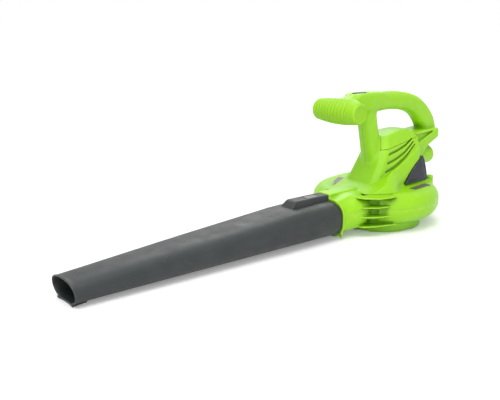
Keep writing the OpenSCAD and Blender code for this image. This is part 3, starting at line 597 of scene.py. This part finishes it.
def tube_section(x, inset, angles):
    """Points of one superellipse section of the tube."""
    s = share(x)
    t = np.interp(s, [0, 0.06, 0.2, 0.6, 0.78, 1], [0, 0, 0.06, 0.5, 0.72, 1])
    half_w = (94.8 + (67.8 - 94.8) * t) / 2
    half_h = (60 + (35 - 60) * t) / 2
    mid = 34 + (18.5 - 34) * t
    power = 2 / (3 - 0.6 * max(0, s))
    flare = max(0.0, MOUTH_X + LIP_L - x) / LIP_L
    u = np.sign(np.cos(angles)) * abs(np.cos(angles)) ** power
    v = np.sign(np.sin(angles)) * abs(np.sin(angles)) ** power
    lean = 4.6 * max(0.0, (s - 0.9) / 0.1)
    return np.stack([x - lean * (v + 1) / 2, (half_w - inset + flare) * u,
                     mid + (half_h - inset + flare) * v], 1)


def section_angles(top_gap):
    """Angles round a section, denser on its corners, with a stop at each edge of the
    slot in its top."""
    ring = np.linspace(0, 2 * math.pi, 129)[:-1]
    edge = math.acos((top_gap / 47.4) ** 1.5)
    keep = ring[(abs(ring - edge) > 0.03) & (abs(ring - (math.pi - edge)) > 0.03)]
    return np.sort(np.concatenate([keep, [edge, math.pi - edge]]))


def loft(rings):
    """Points and quads through closed rings of equal length."""
    n = len(rings[0])
    quads = []
    for j in range(len(rings) - 1):
        i = np.arange(n)
        k = (i + 1) % n
        quads.append(np.stack([j * n + i, j * n + k, (j + 1) * n + k, (j + 1) * n + i], 1))
    return np.vstack(rings), np.vstack(quads)


def build_tube():
    slot_half = 11.6
    angles = section_angles(slot_half)
    n = len(angles)
    stations = np.unique(np.concatenate([
        np.linspace(-140.3, -170, 6), [SLOT_END], np.linspace(-215, -600, 34),
        [-608, -613, -616, -618, -620, -622, -623.2]]))[::-1]
    outer = [tube_section(x, 0, angles) for x in stations]
    lip = [tube_section(-623.7, 0.5, angles), tube_section(-623.9, 1.1, angles),
           tube_section(-623.7, 1.7, angles)]
    inner = [tube_section(x, 2.2, angles) for x in stations[::-1]]
    back = [tube_section(-140.0, 1.7, angles), tube_section(-140.0, 0.5, angles)]
    points, quads = loft(outer + lip + inner + back)
    total = len(outer + lip + inner + back)
    last = np.stack([(total - 1) * n + np.arange(n), (total - 1) * n + (np.arange(n) + 1) % n,
                     (np.arange(n) + 1) % n, np.arange(n)], 1)
    quads = np.vstack([quads, last])
    # the slot in the top that the latch tongue runs in
    centre = points[quads].mean(1)
    in_slot = ((centre[:, 0] > SLOT_END) & (abs(centre[:, 1]) < slot_half)
               & (centre[:, 2] > 50))
    quads = quads[~in_slot]
    used = np.unique(quads)
    index = np.full(len(points), -1)
    index[used] = np.arange(len(used))
    obj = mesh_object("blower_tube_shell", points[used], [index[quads]])
    close_slot(obj)
    if signed_volume(obj.data) < 0:
        obj.data.flip_normals()
    return obj


def close_slot(obj):
    """Joins the slot's outer and inner edges."""
    bm = bmesh.new()
    bm.from_mesh(obj.data)
    rim = [e for e in bm.edges if e.is_boundary]
    if rim:
        bmesh.ops.bridge_loops(bm, edges=rim)
    bmesh.ops.recalc_face_normals(bm, faces=bm.faces)
    bm.to_mesh(obj.data)
    bm.free()


def build_spigot():
    """Ring that the tube slides over; its rear end lies in the housing's rim."""
    angles = np.linspace(0, 2 * math.pi, 129)[:-1]
    outer = [tube_section(x, 2.65, angles) for x in (-164.2, -162.5, -155, -147, -138.6)]
    tip = [tube_section(-165, 4.6, angles), tube_section(-165, 3.4, angles)]
    inner = [tube_section(x, 5.15, angles) for x in (-138.6, -150, -164.2)]
    rings = tip + outer + inner
    points, quads = loft(rings + [rings[0]])
    total = len(rings) * len(angles)
    obj = mesh_object("spigot_ring", points[:total], [quads % total])
    if signed_volume(obj.data) < 0:
        obj.data.flip_normals()
    return finish_piece(obj, "root", "green_housing", GREEN)


def build_tongue():
    """Latch tongue on the rim, with the pocket that holds the button and its spring."""
    field = Field((-194, -13, 57), (-136, 13, 73), 0.55)
    field.add(lambda x, y, z: rounded_box(x, y, z, (-192, -11, 59.2), (-138.8, 11, 70.9), 1.2),
              (-194, -13, 57), (-136, 13, 73))
    field.cut(lambda x, y, z: rounded_box(x, y, z, (-184.8, -8.3, 60.4), (-158.2, 8.3, 90), 0.6),
              (-190, -12, 57), (-152, 12, 73), 0.5)
    obj = field.piece("latch_tongue", field.d, 0.5)
    return finish_piece(obj, "root", "green_housing", GREEN)


def build_hump():
    """Raised channel on the tube's rear end, with the button's window."""
    field = Field((-236, -22, 50), (-137, 22, 77), 0.7)

    def arch(x, y, z):
        share_up = np.clip((z - 56) / 17, 0, 1)
        d = smax(abs(y) - (15.2 - 2.6 * share_up), z - 73, 3.2)
        front = plane(x, z, (-230, 60), (-214, 74))
        d = smax(d, front, 3)
        return smax(smax(d, x + 140.4, 0.8), 52 - z, 0.5)

    field.add(arch, (-240, -22, 48), (-135, 22, 78))
    field.cut(lambda x, y, z: smax(smax(abs(y) - 11.5, z - 71.2, 0.8), SLOT_END - x, 0.5),
              (-200, -16, 48), (-135, 16, 73))
    # window round the button, and a shallow thumb scoop beside it
    field.cut(lambda x, y, z: rounded_box(x, y, z, (-184, -7.5, 60), (-159, 7.5, 90), 2.4),
              (-190, -12, 60), (-152, 12, 78), 0.6)
    field.cut(lambda x, y, z: rounded_box(x, y, z, (-200, -9.4, 72.2), (-152, 9.4, 90), 6.5),
              (-206, -14, 68), (-146, 14, 78), 0.6)
    # sits on the tube's wall
    x, y, z = field.everywhere()
    t = np.interp(share(x), [0, 0.06, 0.2, 0.6], [0, 0, 0.06, 0.5])
    half_w, half_h, mid = (94.8 - 27 * t) / 2, (60 - 25 * t) / 2, 34 - 15.5 * t
    power = 3 - 0.6 * np.maximum(0, share(x))
    surface = mid + half_h * (1 - np.minimum(abs(y) / half_w, 0.95) ** power) ** (1 / power)
    field.d = np.maximum(field.d, surface - 1.3 - z).astype(np.float32)
    return field.piece("tube_hump", field.d, 0.6)


def build_tube_foot():
    """Thin plate that carries the mouth's lower lip."""
    field = Field((-640, -34, -4), (-598, 34, 10), 0.7)

    def foot(x, y, z):
        width = 22.5 - 0.16 * (x + 624)
        d = smax(abs(y) - width, abs(z - 1.8) - 1.75, 1.2)
        d = smax(d, x + 606 - 0.06 * y * y / 4, 1.5)
        return smax(d, -623.8 - x - 0.004 * y * y, 1.2)

    field.add(foot, (-636, -32, -3), (-600, 32, 8))
    return field.piece("tube_foot", field.d, 0.7)


# ------------------------------------------------------------ tower, handle
BAR = [(-99, 214, 13), (-79, 221, 16), (-43, 223, 17.5), (-14, 221.5, 16.5), (24.5, 221.5, 16.3),
       (65, 215.5, 16.5), (95.5, 203.5, 17.5), (117.5, 184, 19), (128, 168, 19.5), (133, 150, 18.5)]
POST = [(-14, 108, 17), (-19, 124, 16.5), (-26, 150, 16), (-35, 190, 15.6), (-40, 214, 16)]
SADDLE = [(62, 157), (100, 161), (138, 163), (150, 153), (146, 146), (112, 133), (96, 126),
          (70, 138)]
SEAM = ((-17.5, 137), (74, 152))
SEAM_GAP = 0.15
HANDLE_LAP = 0.5    # how far tower and handle pass each other, so that no line shows
GRIP = (-107, 212)  # x and z of the cross grip's axis
INLET_Z = 109
BODY_GRID = ((-124, -72, 60), (182, 72, 246), 1.05)
BAND = [(-92, 64), (-66, 74), (-47, 83), (-27, 92), (-6, 100.5), (14, 108), (36, 117.5), (55, 127),
        (72, 135), (101, 147), (124, 155.5), (134, 163), (141, 161.5), (149, 152), (145, 146),
        (128, 139), (113, 132), (98, 117), (84, 108), (62, 98), (42, 88), (26, 78), (8, 62)]


def seam_height(x):
    return 137 + (x + 17.5) * (15 / 91.5)


def tower_half_width(x, z):
    s = np.clip((z - TOP) / (seam_height(x) - TOP), 0, 1.1)
    u = np.clip((x + 58 - 40.5 * s) / (138 - 46.5 * s), 0, 1)
    return (1 - s) * (36 + 12 * u) + s * (31 - 4 * u)


def tower_body(x, y, z):
    side = (abs(y) - tower_half_width(x, z)) * 0.97
    front = plane(x, z, (-58, TOP), (-17.5, 137))
    rear = -plane(x, z, (87, TOP), (78, 152))
    top = plane(x, z, *SEAM)
    corner = (front + side) * 0.7071 + 5.8
    d = smax(smax(smax(front, side, 1.6), corner, 2.4), rear, 5)
    return smax(smax(d, top, 0.6), 62 - z, 0.5)


def cap_body(x, y, z):
    """Domed cap above the seam."""
    seam_z = seam_height(x)
    u = np.clip((x + 17.5) / 91.5, 0, 1)
    rise = np.clip((z - seam_z) / (165 - seam_z), 0, 1.2)
    half = (31 - 4 * u) * (1 - rise) + 21.5 * rise
    side = (abs(y) - half) * 0.93
    front = plane(x, z, (-17.5, 137), (-11, 165))
    rear = -plane(x, z, (78, 152), (62, 166))
    dome = z - (168.6 - 0.003 * y * y - 0.0031 * (x - 42) ** 2)
    corner = (front + side) * 0.7071 + 5.5
    d = smax(smax(smax(front, side, 1.6), corner, 2.4), rear, 4)
    return smax(smax(d, dome, 2), -plane(x, z, *SEAM), 0.6)


def band(x, y, z):
    """Raised arm that sweeps from the foot in front up to the saddle."""
    outline = polygon_distance(x, z, BAND)
    flare = (27 * smooth_step(x, -98, -42) * (1 - smooth_step(x, -38, 24)) * (y < 0)
             * smooth_step(-z, -106, -70))
    reach = np.maximum(tower_half_width(x, z) + 3.4, 25) + flare
    reach = np.where(x > 60, np.maximum(25.4, tower_half_width(x, z) + 3.4
                                        - 20 * smooth_step(x, 66, 96)), reach)
    tip = (np.hypot(np.maximum(x - 134, 0), np.maximum(abs(y) - 8, 0)) - 18
           - 60 * (1 - smooth_step(x, 84, 112)))
    return smax(smax(outline, abs(y) - reach, 2.2), tip, 2)


def saddle(x, y, z):
    plan = smax(abs(y) - 24.5, np.hypot(np.maximum(x - 134, 0), np.maximum(abs(y) - 8, 0)) - 17, 4)
    d = smax(polygon_distance(x, z, SADDLE), plan, 2.4)
    recess = polygon_distance(x, z, [(70, 155), (130, 158), (84, 138.5), (68, 143)])
    return smax(d, -smax(recess, 20 - abs(y), 0.8), 0.8)


def handle_body(x, y, z):
    bar = curve_through(BAR, 5)
    post = curve_through(POST, 4)
    xz = (x[:, :, 0:1], z[0:1, :, :])
    d1, half1, arc, side = along_path(*xz, bar)
    d2, half2 = along_path(*xz, post)[:2]

    def section(d, half, corner, width):
        a, b = d - (half - corner), abs(y) - (width - corner)
        return (np.sqrt(np.maximum(a, 0) ** 2 + np.maximum(b, 0) ** 2)
                + np.minimum(np.maximum(a, b), 0) - corner)

    width1 = 17 - 1.2 * smooth_step(arc, 40, 90) + 3.5 * smooth_step(arc, 245, 285)
    loop = section(d1, half1, 12.5, width1)
    # thumb ribs: a lens of ridges on top of the loop
    lens = 14.5 * np.sqrt(np.clip(1 - ((arc - 163) / 47) ** 2, 0, 1))
    mask = smooth_step(lens - abs(y), 0, 2.5) * (side > 0)
    loop = loop - (0.9 * np.cos(arc * (2 * math.pi / 6.6)) - 0.2) * mask
    column = section(d2, half2, 13, 16.5 + 0.05 * np.clip(150 - z, 0, 60))
    return smin(loop, column, 9)


def head(x, y, z):
    """Flat-topped block that holds the switch, and the neck to the cross grip."""
    narrow = 3.2 * smooth_step(x, -46, -8)
    block = rounded_box(x, np.sign(y) * (abs(y) + narrow), z, (-78.5, -18.5, 209),
                         (-2, 18.5, 240.6), 7)
    block = smax(block, plane(x, z, (-80, 238.2), (-50, 241.4)), 2)
    block = smax(block, plane(x, z, (-48, 240.9), (2, 236.8)), 2)
    spread = 18 + 25 * smooth_step(-x, 78, 100)
    neck = smax(smax(abs(y) - spread, abs(z - 215 - 0.12 * (x + 107)) - 13.5, 7),
                abs(x + 88) - 22, 4)
    return smin(block, neck, 5)


def build_body():
    """Tower, cap, arms and handle on one grid, split where the real shells part."""
    field = Field(*BODY_GRID)
    x, y, z = field.everywhere()
    tower = Field(*BODY_GRID)
    tower.add(tower_body, (-70, -60, 60), (95, 60, 165))
    tower.add(saddle, (55, -32, 115), (182, 32, 170), 1.5)
    tower.add(band, (-100, -72, 58), (180, 72, 172), 1.2)
    # the foot of the body runs out softly over the scroll
    s, (wx, wy, wz) = tower.window((-105, -72, 60), (110, 72, 90))
    ground = wz - 69.6 + far_dip(wx, wy)
    near = smin(tower.d[s], ground, 7)
    tower.d[s] = np.where(ground < 0.8, tower.d[s], near)
    tower.cut(lambda x, y, z: z - (69.8 - far_dip(x, y)) + 40 * (np.hypot(x - 9.4, y - 11.7) > 94)
              * (y < -30), (-124, -72, 60), (182, 72, 73))
    cap = Field(*BODY_GRID)
    cap.add(cap_body, (-30, -40, 125), (85, 40, 172))
    handle = Field(*BODY_GRID)
    handle.add(handle_body, (-124, -28, 100), (165, 28, 246))
    handle.add(head, (-120, -50, 190), (20, 50, 246), 6)
    # oval hollow round the switch, and its opening
    handle.cut(lambda x, y, z: (np.sqrt(((x + 48) / 33) ** 2 + (y / 13.5) ** 2
                                        + ((z - 244) / 8) ** 2) - 1) * 8,
               (-90, -20, 228), (-8, 20, 246), 1.5)
    handle.cut(lambda x, y, z: rounded_box(x, y, z, (-68.3, -9.3, 224), (-41.7, 9.3, 250), 1.5),
               (-75, -14, 220), (-35, 14, 246), 0.5)
    # pocket for the barrel of the grip
    handle.cut(lambda x, y, z: np.hypot(x - GRIP[0], z - GRIP[1]) - 19 + 0 * y, (-124, -46, 190),
               (-84, 46, 236), 0.5)
    # cooling slots that draw together towards the rear
    slots = slot_distance(x, z)
    below = np.minimum(tower.d, cap.d)
    body = np.where(x < 40, smin(below, handle.d, 9), smin(below, handle.d, 2))
    depth = 4.2
    near_slot = 1 - smooth_step(slots, 3, 7)
    shell = np.maximum(body, -(body + WALL + depth * near_slot * (abs(y) > 12)))
    groove = smax(slots, -(body + depth), 0.5)
    shell = np.where(abs(y) > 14, smax(shell, -groove, 0.9), shell)
    # which shell a point belongs to
    to_handle = (handle.d - np.minimum(tower.d, cap.d)) * 0.7071
    above_seam = plane(x, z, *SEAM)
    in_cap = np.maximum(np.maximum(-above_seam, cap.d - 1.5), 134 - z)
    # inlet and side panels
    inlet = np.maximum(np.hypot(y, z - INLET_Z) - 17.8, 58 - x)
    shell = np.maximum(shell, -inlet)
    pocket = panel_distance(x, y, z, 0.5)
    shell = np.maximum(shell, -pocket)
    tower_piece = np.maximum(np.maximum(shell, -to_handle - HANDLE_LAP), -in_cap + SEAM_GAP)
    cap_piece = np.maximum(np.maximum(shell, -to_handle - HANDLE_LAP), in_cap + SEAM_GAP)
    handle_piece = np.maximum(shell, to_handle - HANDLE_LAP)
    made = [field.piece("motor_tower_shell", tower_piece, 0.4),
            field.piece("motor_cap_shell", cap_piece, 0.5),
            field.piece("handle_right_shell", np.maximum(handle_piece, y + 0.12), 0.5),
            field.piece("handle_left_shell", np.maximum(handle_piece, 0.12 - y), 0.5)]
    for obj, node in zip(made, ("motor_tower", "motor_cap", "handle_right", "handle_left")):
        finish_piece(obj, "root", "green_housing", GREEN, node)


def slot_distance(x, z):
    """Distance to the three curved cooling slots in the XZ plane."""
    lines = [[(-7, 129.5, 2.0), (11, 133, 2.1), (38, 140.5, 1.9), (59, 150, 1.4)],
             [(-12, 114, 2.0), (9, 119, 2.3), (36, 129, 2.1), (62, 144.5, 1.4)],
             [(-18, 99.5, 2.0), (7, 107, 2.4), (38, 121.5, 2.1), (65, 139, 1.3)]]
    best = None
    for line in lines:
        d, half = along_path(x, z, curve_through(line, 5))[:2]
        best = d - half if best is None else np.minimum(best, d - half)
    return best


# ------------------------------------------------------------ side panels
LEAN = math.radians(12)
PANEL_OUTLINE = [(19.5, 1.8), (27, 9), (36, 17.4), (46, 26), (56, 33.6), (67, 41), (78.5, 48),
                 (81.4, 40), (83, 30), (83.8, 17), (83.2, 2.4), (52, 2.2)]


def panel_distance(x, y, z, grow):
    """Distance to the pockets of both panels, in the plane they lie in."""
    up = (z - 72) / math.cos(LEAN)
    flat = polygon_distance(x, up, PANEL_OUTLINE) - grow
    face = 48.5 - (z - 72) * math.tan(LEAN)
    return smax(flat, abs(abs(y) - face - 2) - 6, 0.3)


def build_panel(side):
    """Dark panel: a raised face inside a rounded border."""
    points = np.array(PANEL_OUTLINE, float)
    dense = []
    n = len(points)
    for i in range(n):
        a, b = points[i], points[(i + 1) % n]
        for t in np.linspace(0, 1, 6)[:-1]:
            dense.append(a + (b - a) * t)
    outline = round_corners(np.array(dense))
    rings = []
    for inset, height in ((0.0, -2.0), (0.0, 0.6), (0.3, 1.1), (0.9, 1.4), (3.4, 1.4), (3.9, 1.15),
                          (4.4, 1.15), (4.9, 1.5), (12, 1.9), (18, 2.0)):
        rings.append((inset_ring(outline, inset), height))
    verts = []
    for ring, height in rings:
        for u, v in ring:
            z = 72 + v * math.cos(LEAN) + height * math.sin(LEAN)
            y = 48.5 - v * math.sin(LEAN) + height * math.cos(LEAN)
            verts.append((u, side * y, z))
    n = len(outline)
    quads = []
    for j in range(len(rings) - 1):
        for i in range(n):
            k = (i + 1) % n
            quads.append((j * n + i, j * n + k, (j + 1) * n + k, (j + 1) * n + i))
    verts = np.array(verts)
    last = len(verts)
    top_ring = (len(rings) - 1) * n
    middle = verts[top_ring:top_ring + n].mean(0)
    base_mid = verts[:n].mean(0)
    verts = np.vstack([verts, middle, base_mid])
    tris = [(top_ring + i, top_ring + (i + 1) % n, last) for i in range(n)]
    tris += [((i + 1) % n, i, last + 1) for i in range(n)]
    obj = mesh_object("side_panel_face_" + ("left" if side > 0 else "right"), verts,
                      [np.array(quads), np.array(tris)])
    if signed_volume(obj.data) < 0:
        obj.data.flip_normals()
    node = "side_panel_left" if side > 0 else "side_panel_right"
    return finish_piece(obj, "root", "panel_plastic", PANEL, node)


def round_corners(points):
    return (np.roll(points, 1, 0) + 2 * points + np.roll(points, -1, 0)) / 4


def inset_ring(points, inset):
    """Points moved towards the middle, by at most a share of their distance to it."""
    middle = points.mean(0)
    away = points - middle
    length = np.linalg.norm(away, axis=1, keepdims=True)
    return points - away / length * np.minimum(inset * (0.5 + length / 50), length * 0.75)


# ------------------------------------------------------------ lathes
def lathe(name, profile, centre, axis, count=96):
    """Closed solid of revolution from (radius, along) pairs; both ends lie on the axis."""
    profile = np.array(profile, float)
    angles = np.linspace(0, 2 * math.pi, count + 1)[:-1]
    a, b = {"x": (1, 2), "y": (2, 0), "z": (0, 1)}[axis]
    along = {"x": 0, "y": 1, "z": 2}[axis]
    points = []
    for radius, place in profile[1:-1]:
        ring = np.zeros((count, 3))
        ring[:, a] = radius * np.cos(angles)
        ring[:, b] = radius * np.sin(angles)
        ring[:, along] = place
        points.append(ring)
    rings, quads = loft(points)
    ends = np.zeros((2, 3))
    ends[0, along], ends[1, along] = profile[0][1], profile[-1][1]
    m = len(rings)
    i = np.arange(count)
    k = (i + 1) % count
    tris = np.vstack([np.stack([k, i, np.full(count, m)], 1),
                      np.stack([m - count + i, m - count + k, np.full(count, m + 1)], 1)])
    obj = mesh_object(name, np.vstack([rings, ends]) + np.array(centre), [quads, tris])
    if signed_volume(obj.data) < 0:
        obj.data.flip_normals()
    return obj


def build_grip():
    """Cross grip: ring ridges over its far part, smooth at the near end."""
    half = 49.4
    profile = [(0, -half + 1.2), (11, -half + 1.2), (12.6, -half + 1.0), (13.4, -half + 0.5),
               (14.6, -half + 0.05), (15.6, -half + 0.5), (17.0, -half + 1.8)]
    for y in np.arange(-half + 3.4, half - 3.2, 0.6):
        r = 17.6 + 4.4 * (1 - (y / half) ** 2)
        ridge = 0.5 + 0.5 * math.cos((y + 24) * 2 * math.pi / 7.3)
        shown = float(smooth_step(np.array(y), -38, -26) * (1 - smooth_step(np.array(y), 42, 45)))
        r -= 1.25 * shown * (1 - ridge)
        profile.append((r, float(y)))
    profile += [(17.0, half - 1.8), (15.6, half - 0.5), (14.6, half - 0.05), (13.4, half - 0.5),
                (12.6, half - 1.0), (11, half - 1.2), (0, half - 1.2)]
    obj = lathe("front_grip_barrel", profile, (GRIP[0], 0, GRIP[1]), "y", 128)
    return finish_piece(obj, "root", "green_grip", GREEN_GRIP, "front_grip", "grip_caps")


def build_inlet():
    """Shroud of the power inlet, open at its rear end."""
    profile = [(0, 108), (14.6, 108), (14.9, 110), (15.0, 138.6), (15.3, 140.6), (16.2, 141.7),
               (16.9, 141.2), (17.4, 139.6), (17.5, 136), (17.5, 84), (17.4, 79), (0, 79)]
    obj = lathe("inlet_shroud", profile, (0, 0, INLET_Z), "x")
    return finish_piece(obj, "root", "green_housing", GREEN, "inlet_housing")


# ------------------------------------------------------------ build
build_housing()
build_body()
finish_piece(build_tube(), "tube", "tube_plastic", TUBE, "blower_tube")
finish_piece(build_hump(), "tube", "tube_plastic", TUBE)
finish_piece(build_tube_foot(), "tube", "tube_plastic", TUBE)
build_spigot()
build_tongue()
for side in (-1, 1):
    build_panel(side)
build_grip()
build_inlet()

CAD_LOOKS = {
    "intake_grille": GREEN, "grille_screws": SCREW, "housing_screws": SCREW,
    "handle_screws": SCREW, "switch_bezel": BLACK, "switch_module": BLACK,
    "switch_rocker": BLACK, "inlet_insert": BLACK, "inlet_pins": BRASS,
    "stator_core": LAMINATION, "field_coils": COPPER, "motor_base": BRIGHT,
    "motor_bridge": BRIGHT, "motor_bolts": SCREW, "lower_bearing": BRONZE,
    "upper_bearing": BRONZE, "brush_holders": BRASS, "carbon_brushes": CARBON,
    "brush_springs": BRIGHT, "suppressor": FILM, "lead_wires": SLEEVE,
    "label_plates": LABEL, "motor_shaft": BRIGHT, "armature_core": LAMINATION,
    "armature_windings": COPPER, "commutator": COPPER, "cooling_fan": FAN,
    "fan_wheel": FAN, "fan_nut": SCREW, "latch_button": BUTTON, "latch_spring": BRIGHT,
}
for node, material in CAD_LOOKS.items():
    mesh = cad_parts[node].data
    mesh.materials.clear()
    mesh.materials.append(material)


# ------------------------------------------------------------ floor and light
def seen_directly(tree):
    """Socket that is 1 for rays which show the background: camera, glossy, transmission."""
    rays = tree.nodes.new("ShaderNodeLightPath")
    seen = rays.outputs["Is Camera Ray"]
    for kind in ("Is Glossy Ray", "Is Transmission Ray"):
        either = tree.nodes.new("ShaderNodeMath")
        either.operation = "MAXIMUM"
        tree.links.new(seen, either.inputs[0])
        tree.links.new(rays.outputs[kind], either.inputs[1])
        seen = either.outputs[0]
    return seen


def floor_material():
    """Pale matt floor that reads as white where nothing shades it."""
    n = Nodes("floor")
    n.feed(n.shader.inputs["Base Color"], n.mix(n.noise(6.0, 2.0), (0.86, 0.86, 0.86, 1),
                                                (0.89, 0.89, 0.89, 1)))
    n.shader.inputs["Roughness"].default_value = 0.85
    n.shader.inputs["Specular IOR Level"].default_value = 0.1
    seen = seen_directly(n.tree)
    glow = n.new("ShaderNodeEmission")
    away = n.new("ShaderNodeVectorMath", Vector=n.place)
    away.operation = "LENGTH"
    glow_share = n.ramp(away.outputs["Value"], 1.2, 3.5, 0.2, 1.0)
    n.feed(glow.inputs["Strength"], n.times(seen, glow_share))
    both = n.tree.nodes.new("ShaderNodeAddShader")
    n.feed(both.inputs[0], n.shader.outputs[0])
    n.feed(both.inputs[1], glow.outputs[0])
    out = n.tree.nodes["Material Output"]
    n.feed(out.inputs["Surface"], both.outputs[0])
    return n.material


def stage_mesh():
    """Wide round floor."""
    count = 96
    angles = np.linspace(0, 2 * math.pi, count + 1)[:-1]
    points, quads = loft([np.stack([r * np.cos(angles), r * np.sin(angles), 0 * angles], 1)
                          for r in (4000, 9000, 16000)])
    m = len(points)
    i = np.arange(count)
    tris = np.stack([i, (i + 1) % count, np.full(count, m)], 1)
    return mesh_object("floor", np.vstack([points, [(0, 0, 0)]]), [quads[:, ::-1], tris], False)


floor = stage_mesh()
floor.location.z = -0.0004
floor.data.materials.append(floor_material())

SKY_LIGHT = 0.55     # what lights the object; rays that see the sky get 1
world = bpy.data.worlds.new("studio")
bpy.context.scene.world = world
world.use_nodes = True
background = world.node_tree.nodes["Background"]
background.inputs["Color"].default_value = (1, 1, 1, 1)
sky_seen = world.node_tree.nodes.new("ShaderNodeMapRange")
sky_seen.inputs["To Min"].default_value = SKY_LIGHT
sky_seen.inputs["To Max"].default_value = 1.0
world.node_tree.links.new(seen_directly(world.node_tree), sky_seen.inputs["Value"])
world.node_tree.links.new(sky_seen.outputs[0], background.inputs["Strength"])


def lamp(name, place, target, size, power):
    data = bpy.data.lights.new(name, "AREA")
    data.shape = "DISK"
    data.size = size
    data.energy = power
    obj = bpy.data.objects.new(name, data)
    obj.location = place
    obj.rotation_mode = "QUATERNION"
    obj.rotation_quaternion = (Vector(target) - Vector(place)).to_track_quat("-Z", "Y")
    bpy.context.scene.collection.objects.link(obj)


CENTRE = (-0.2, 0.0, 0.1)
lamp("key", (-1.2, -0.6, 3.0), CENTRE, 2.4, 62)
lamp("fill", (-1.8, -2.6, 1.2), CENTRE, 2.4, 26)
lamp("rim", (1.6, 2.0, 2.4), CENTRE, 2.0, 30)

scene = bpy.context.scene
scene.view_settings.view_transform = "Standard"
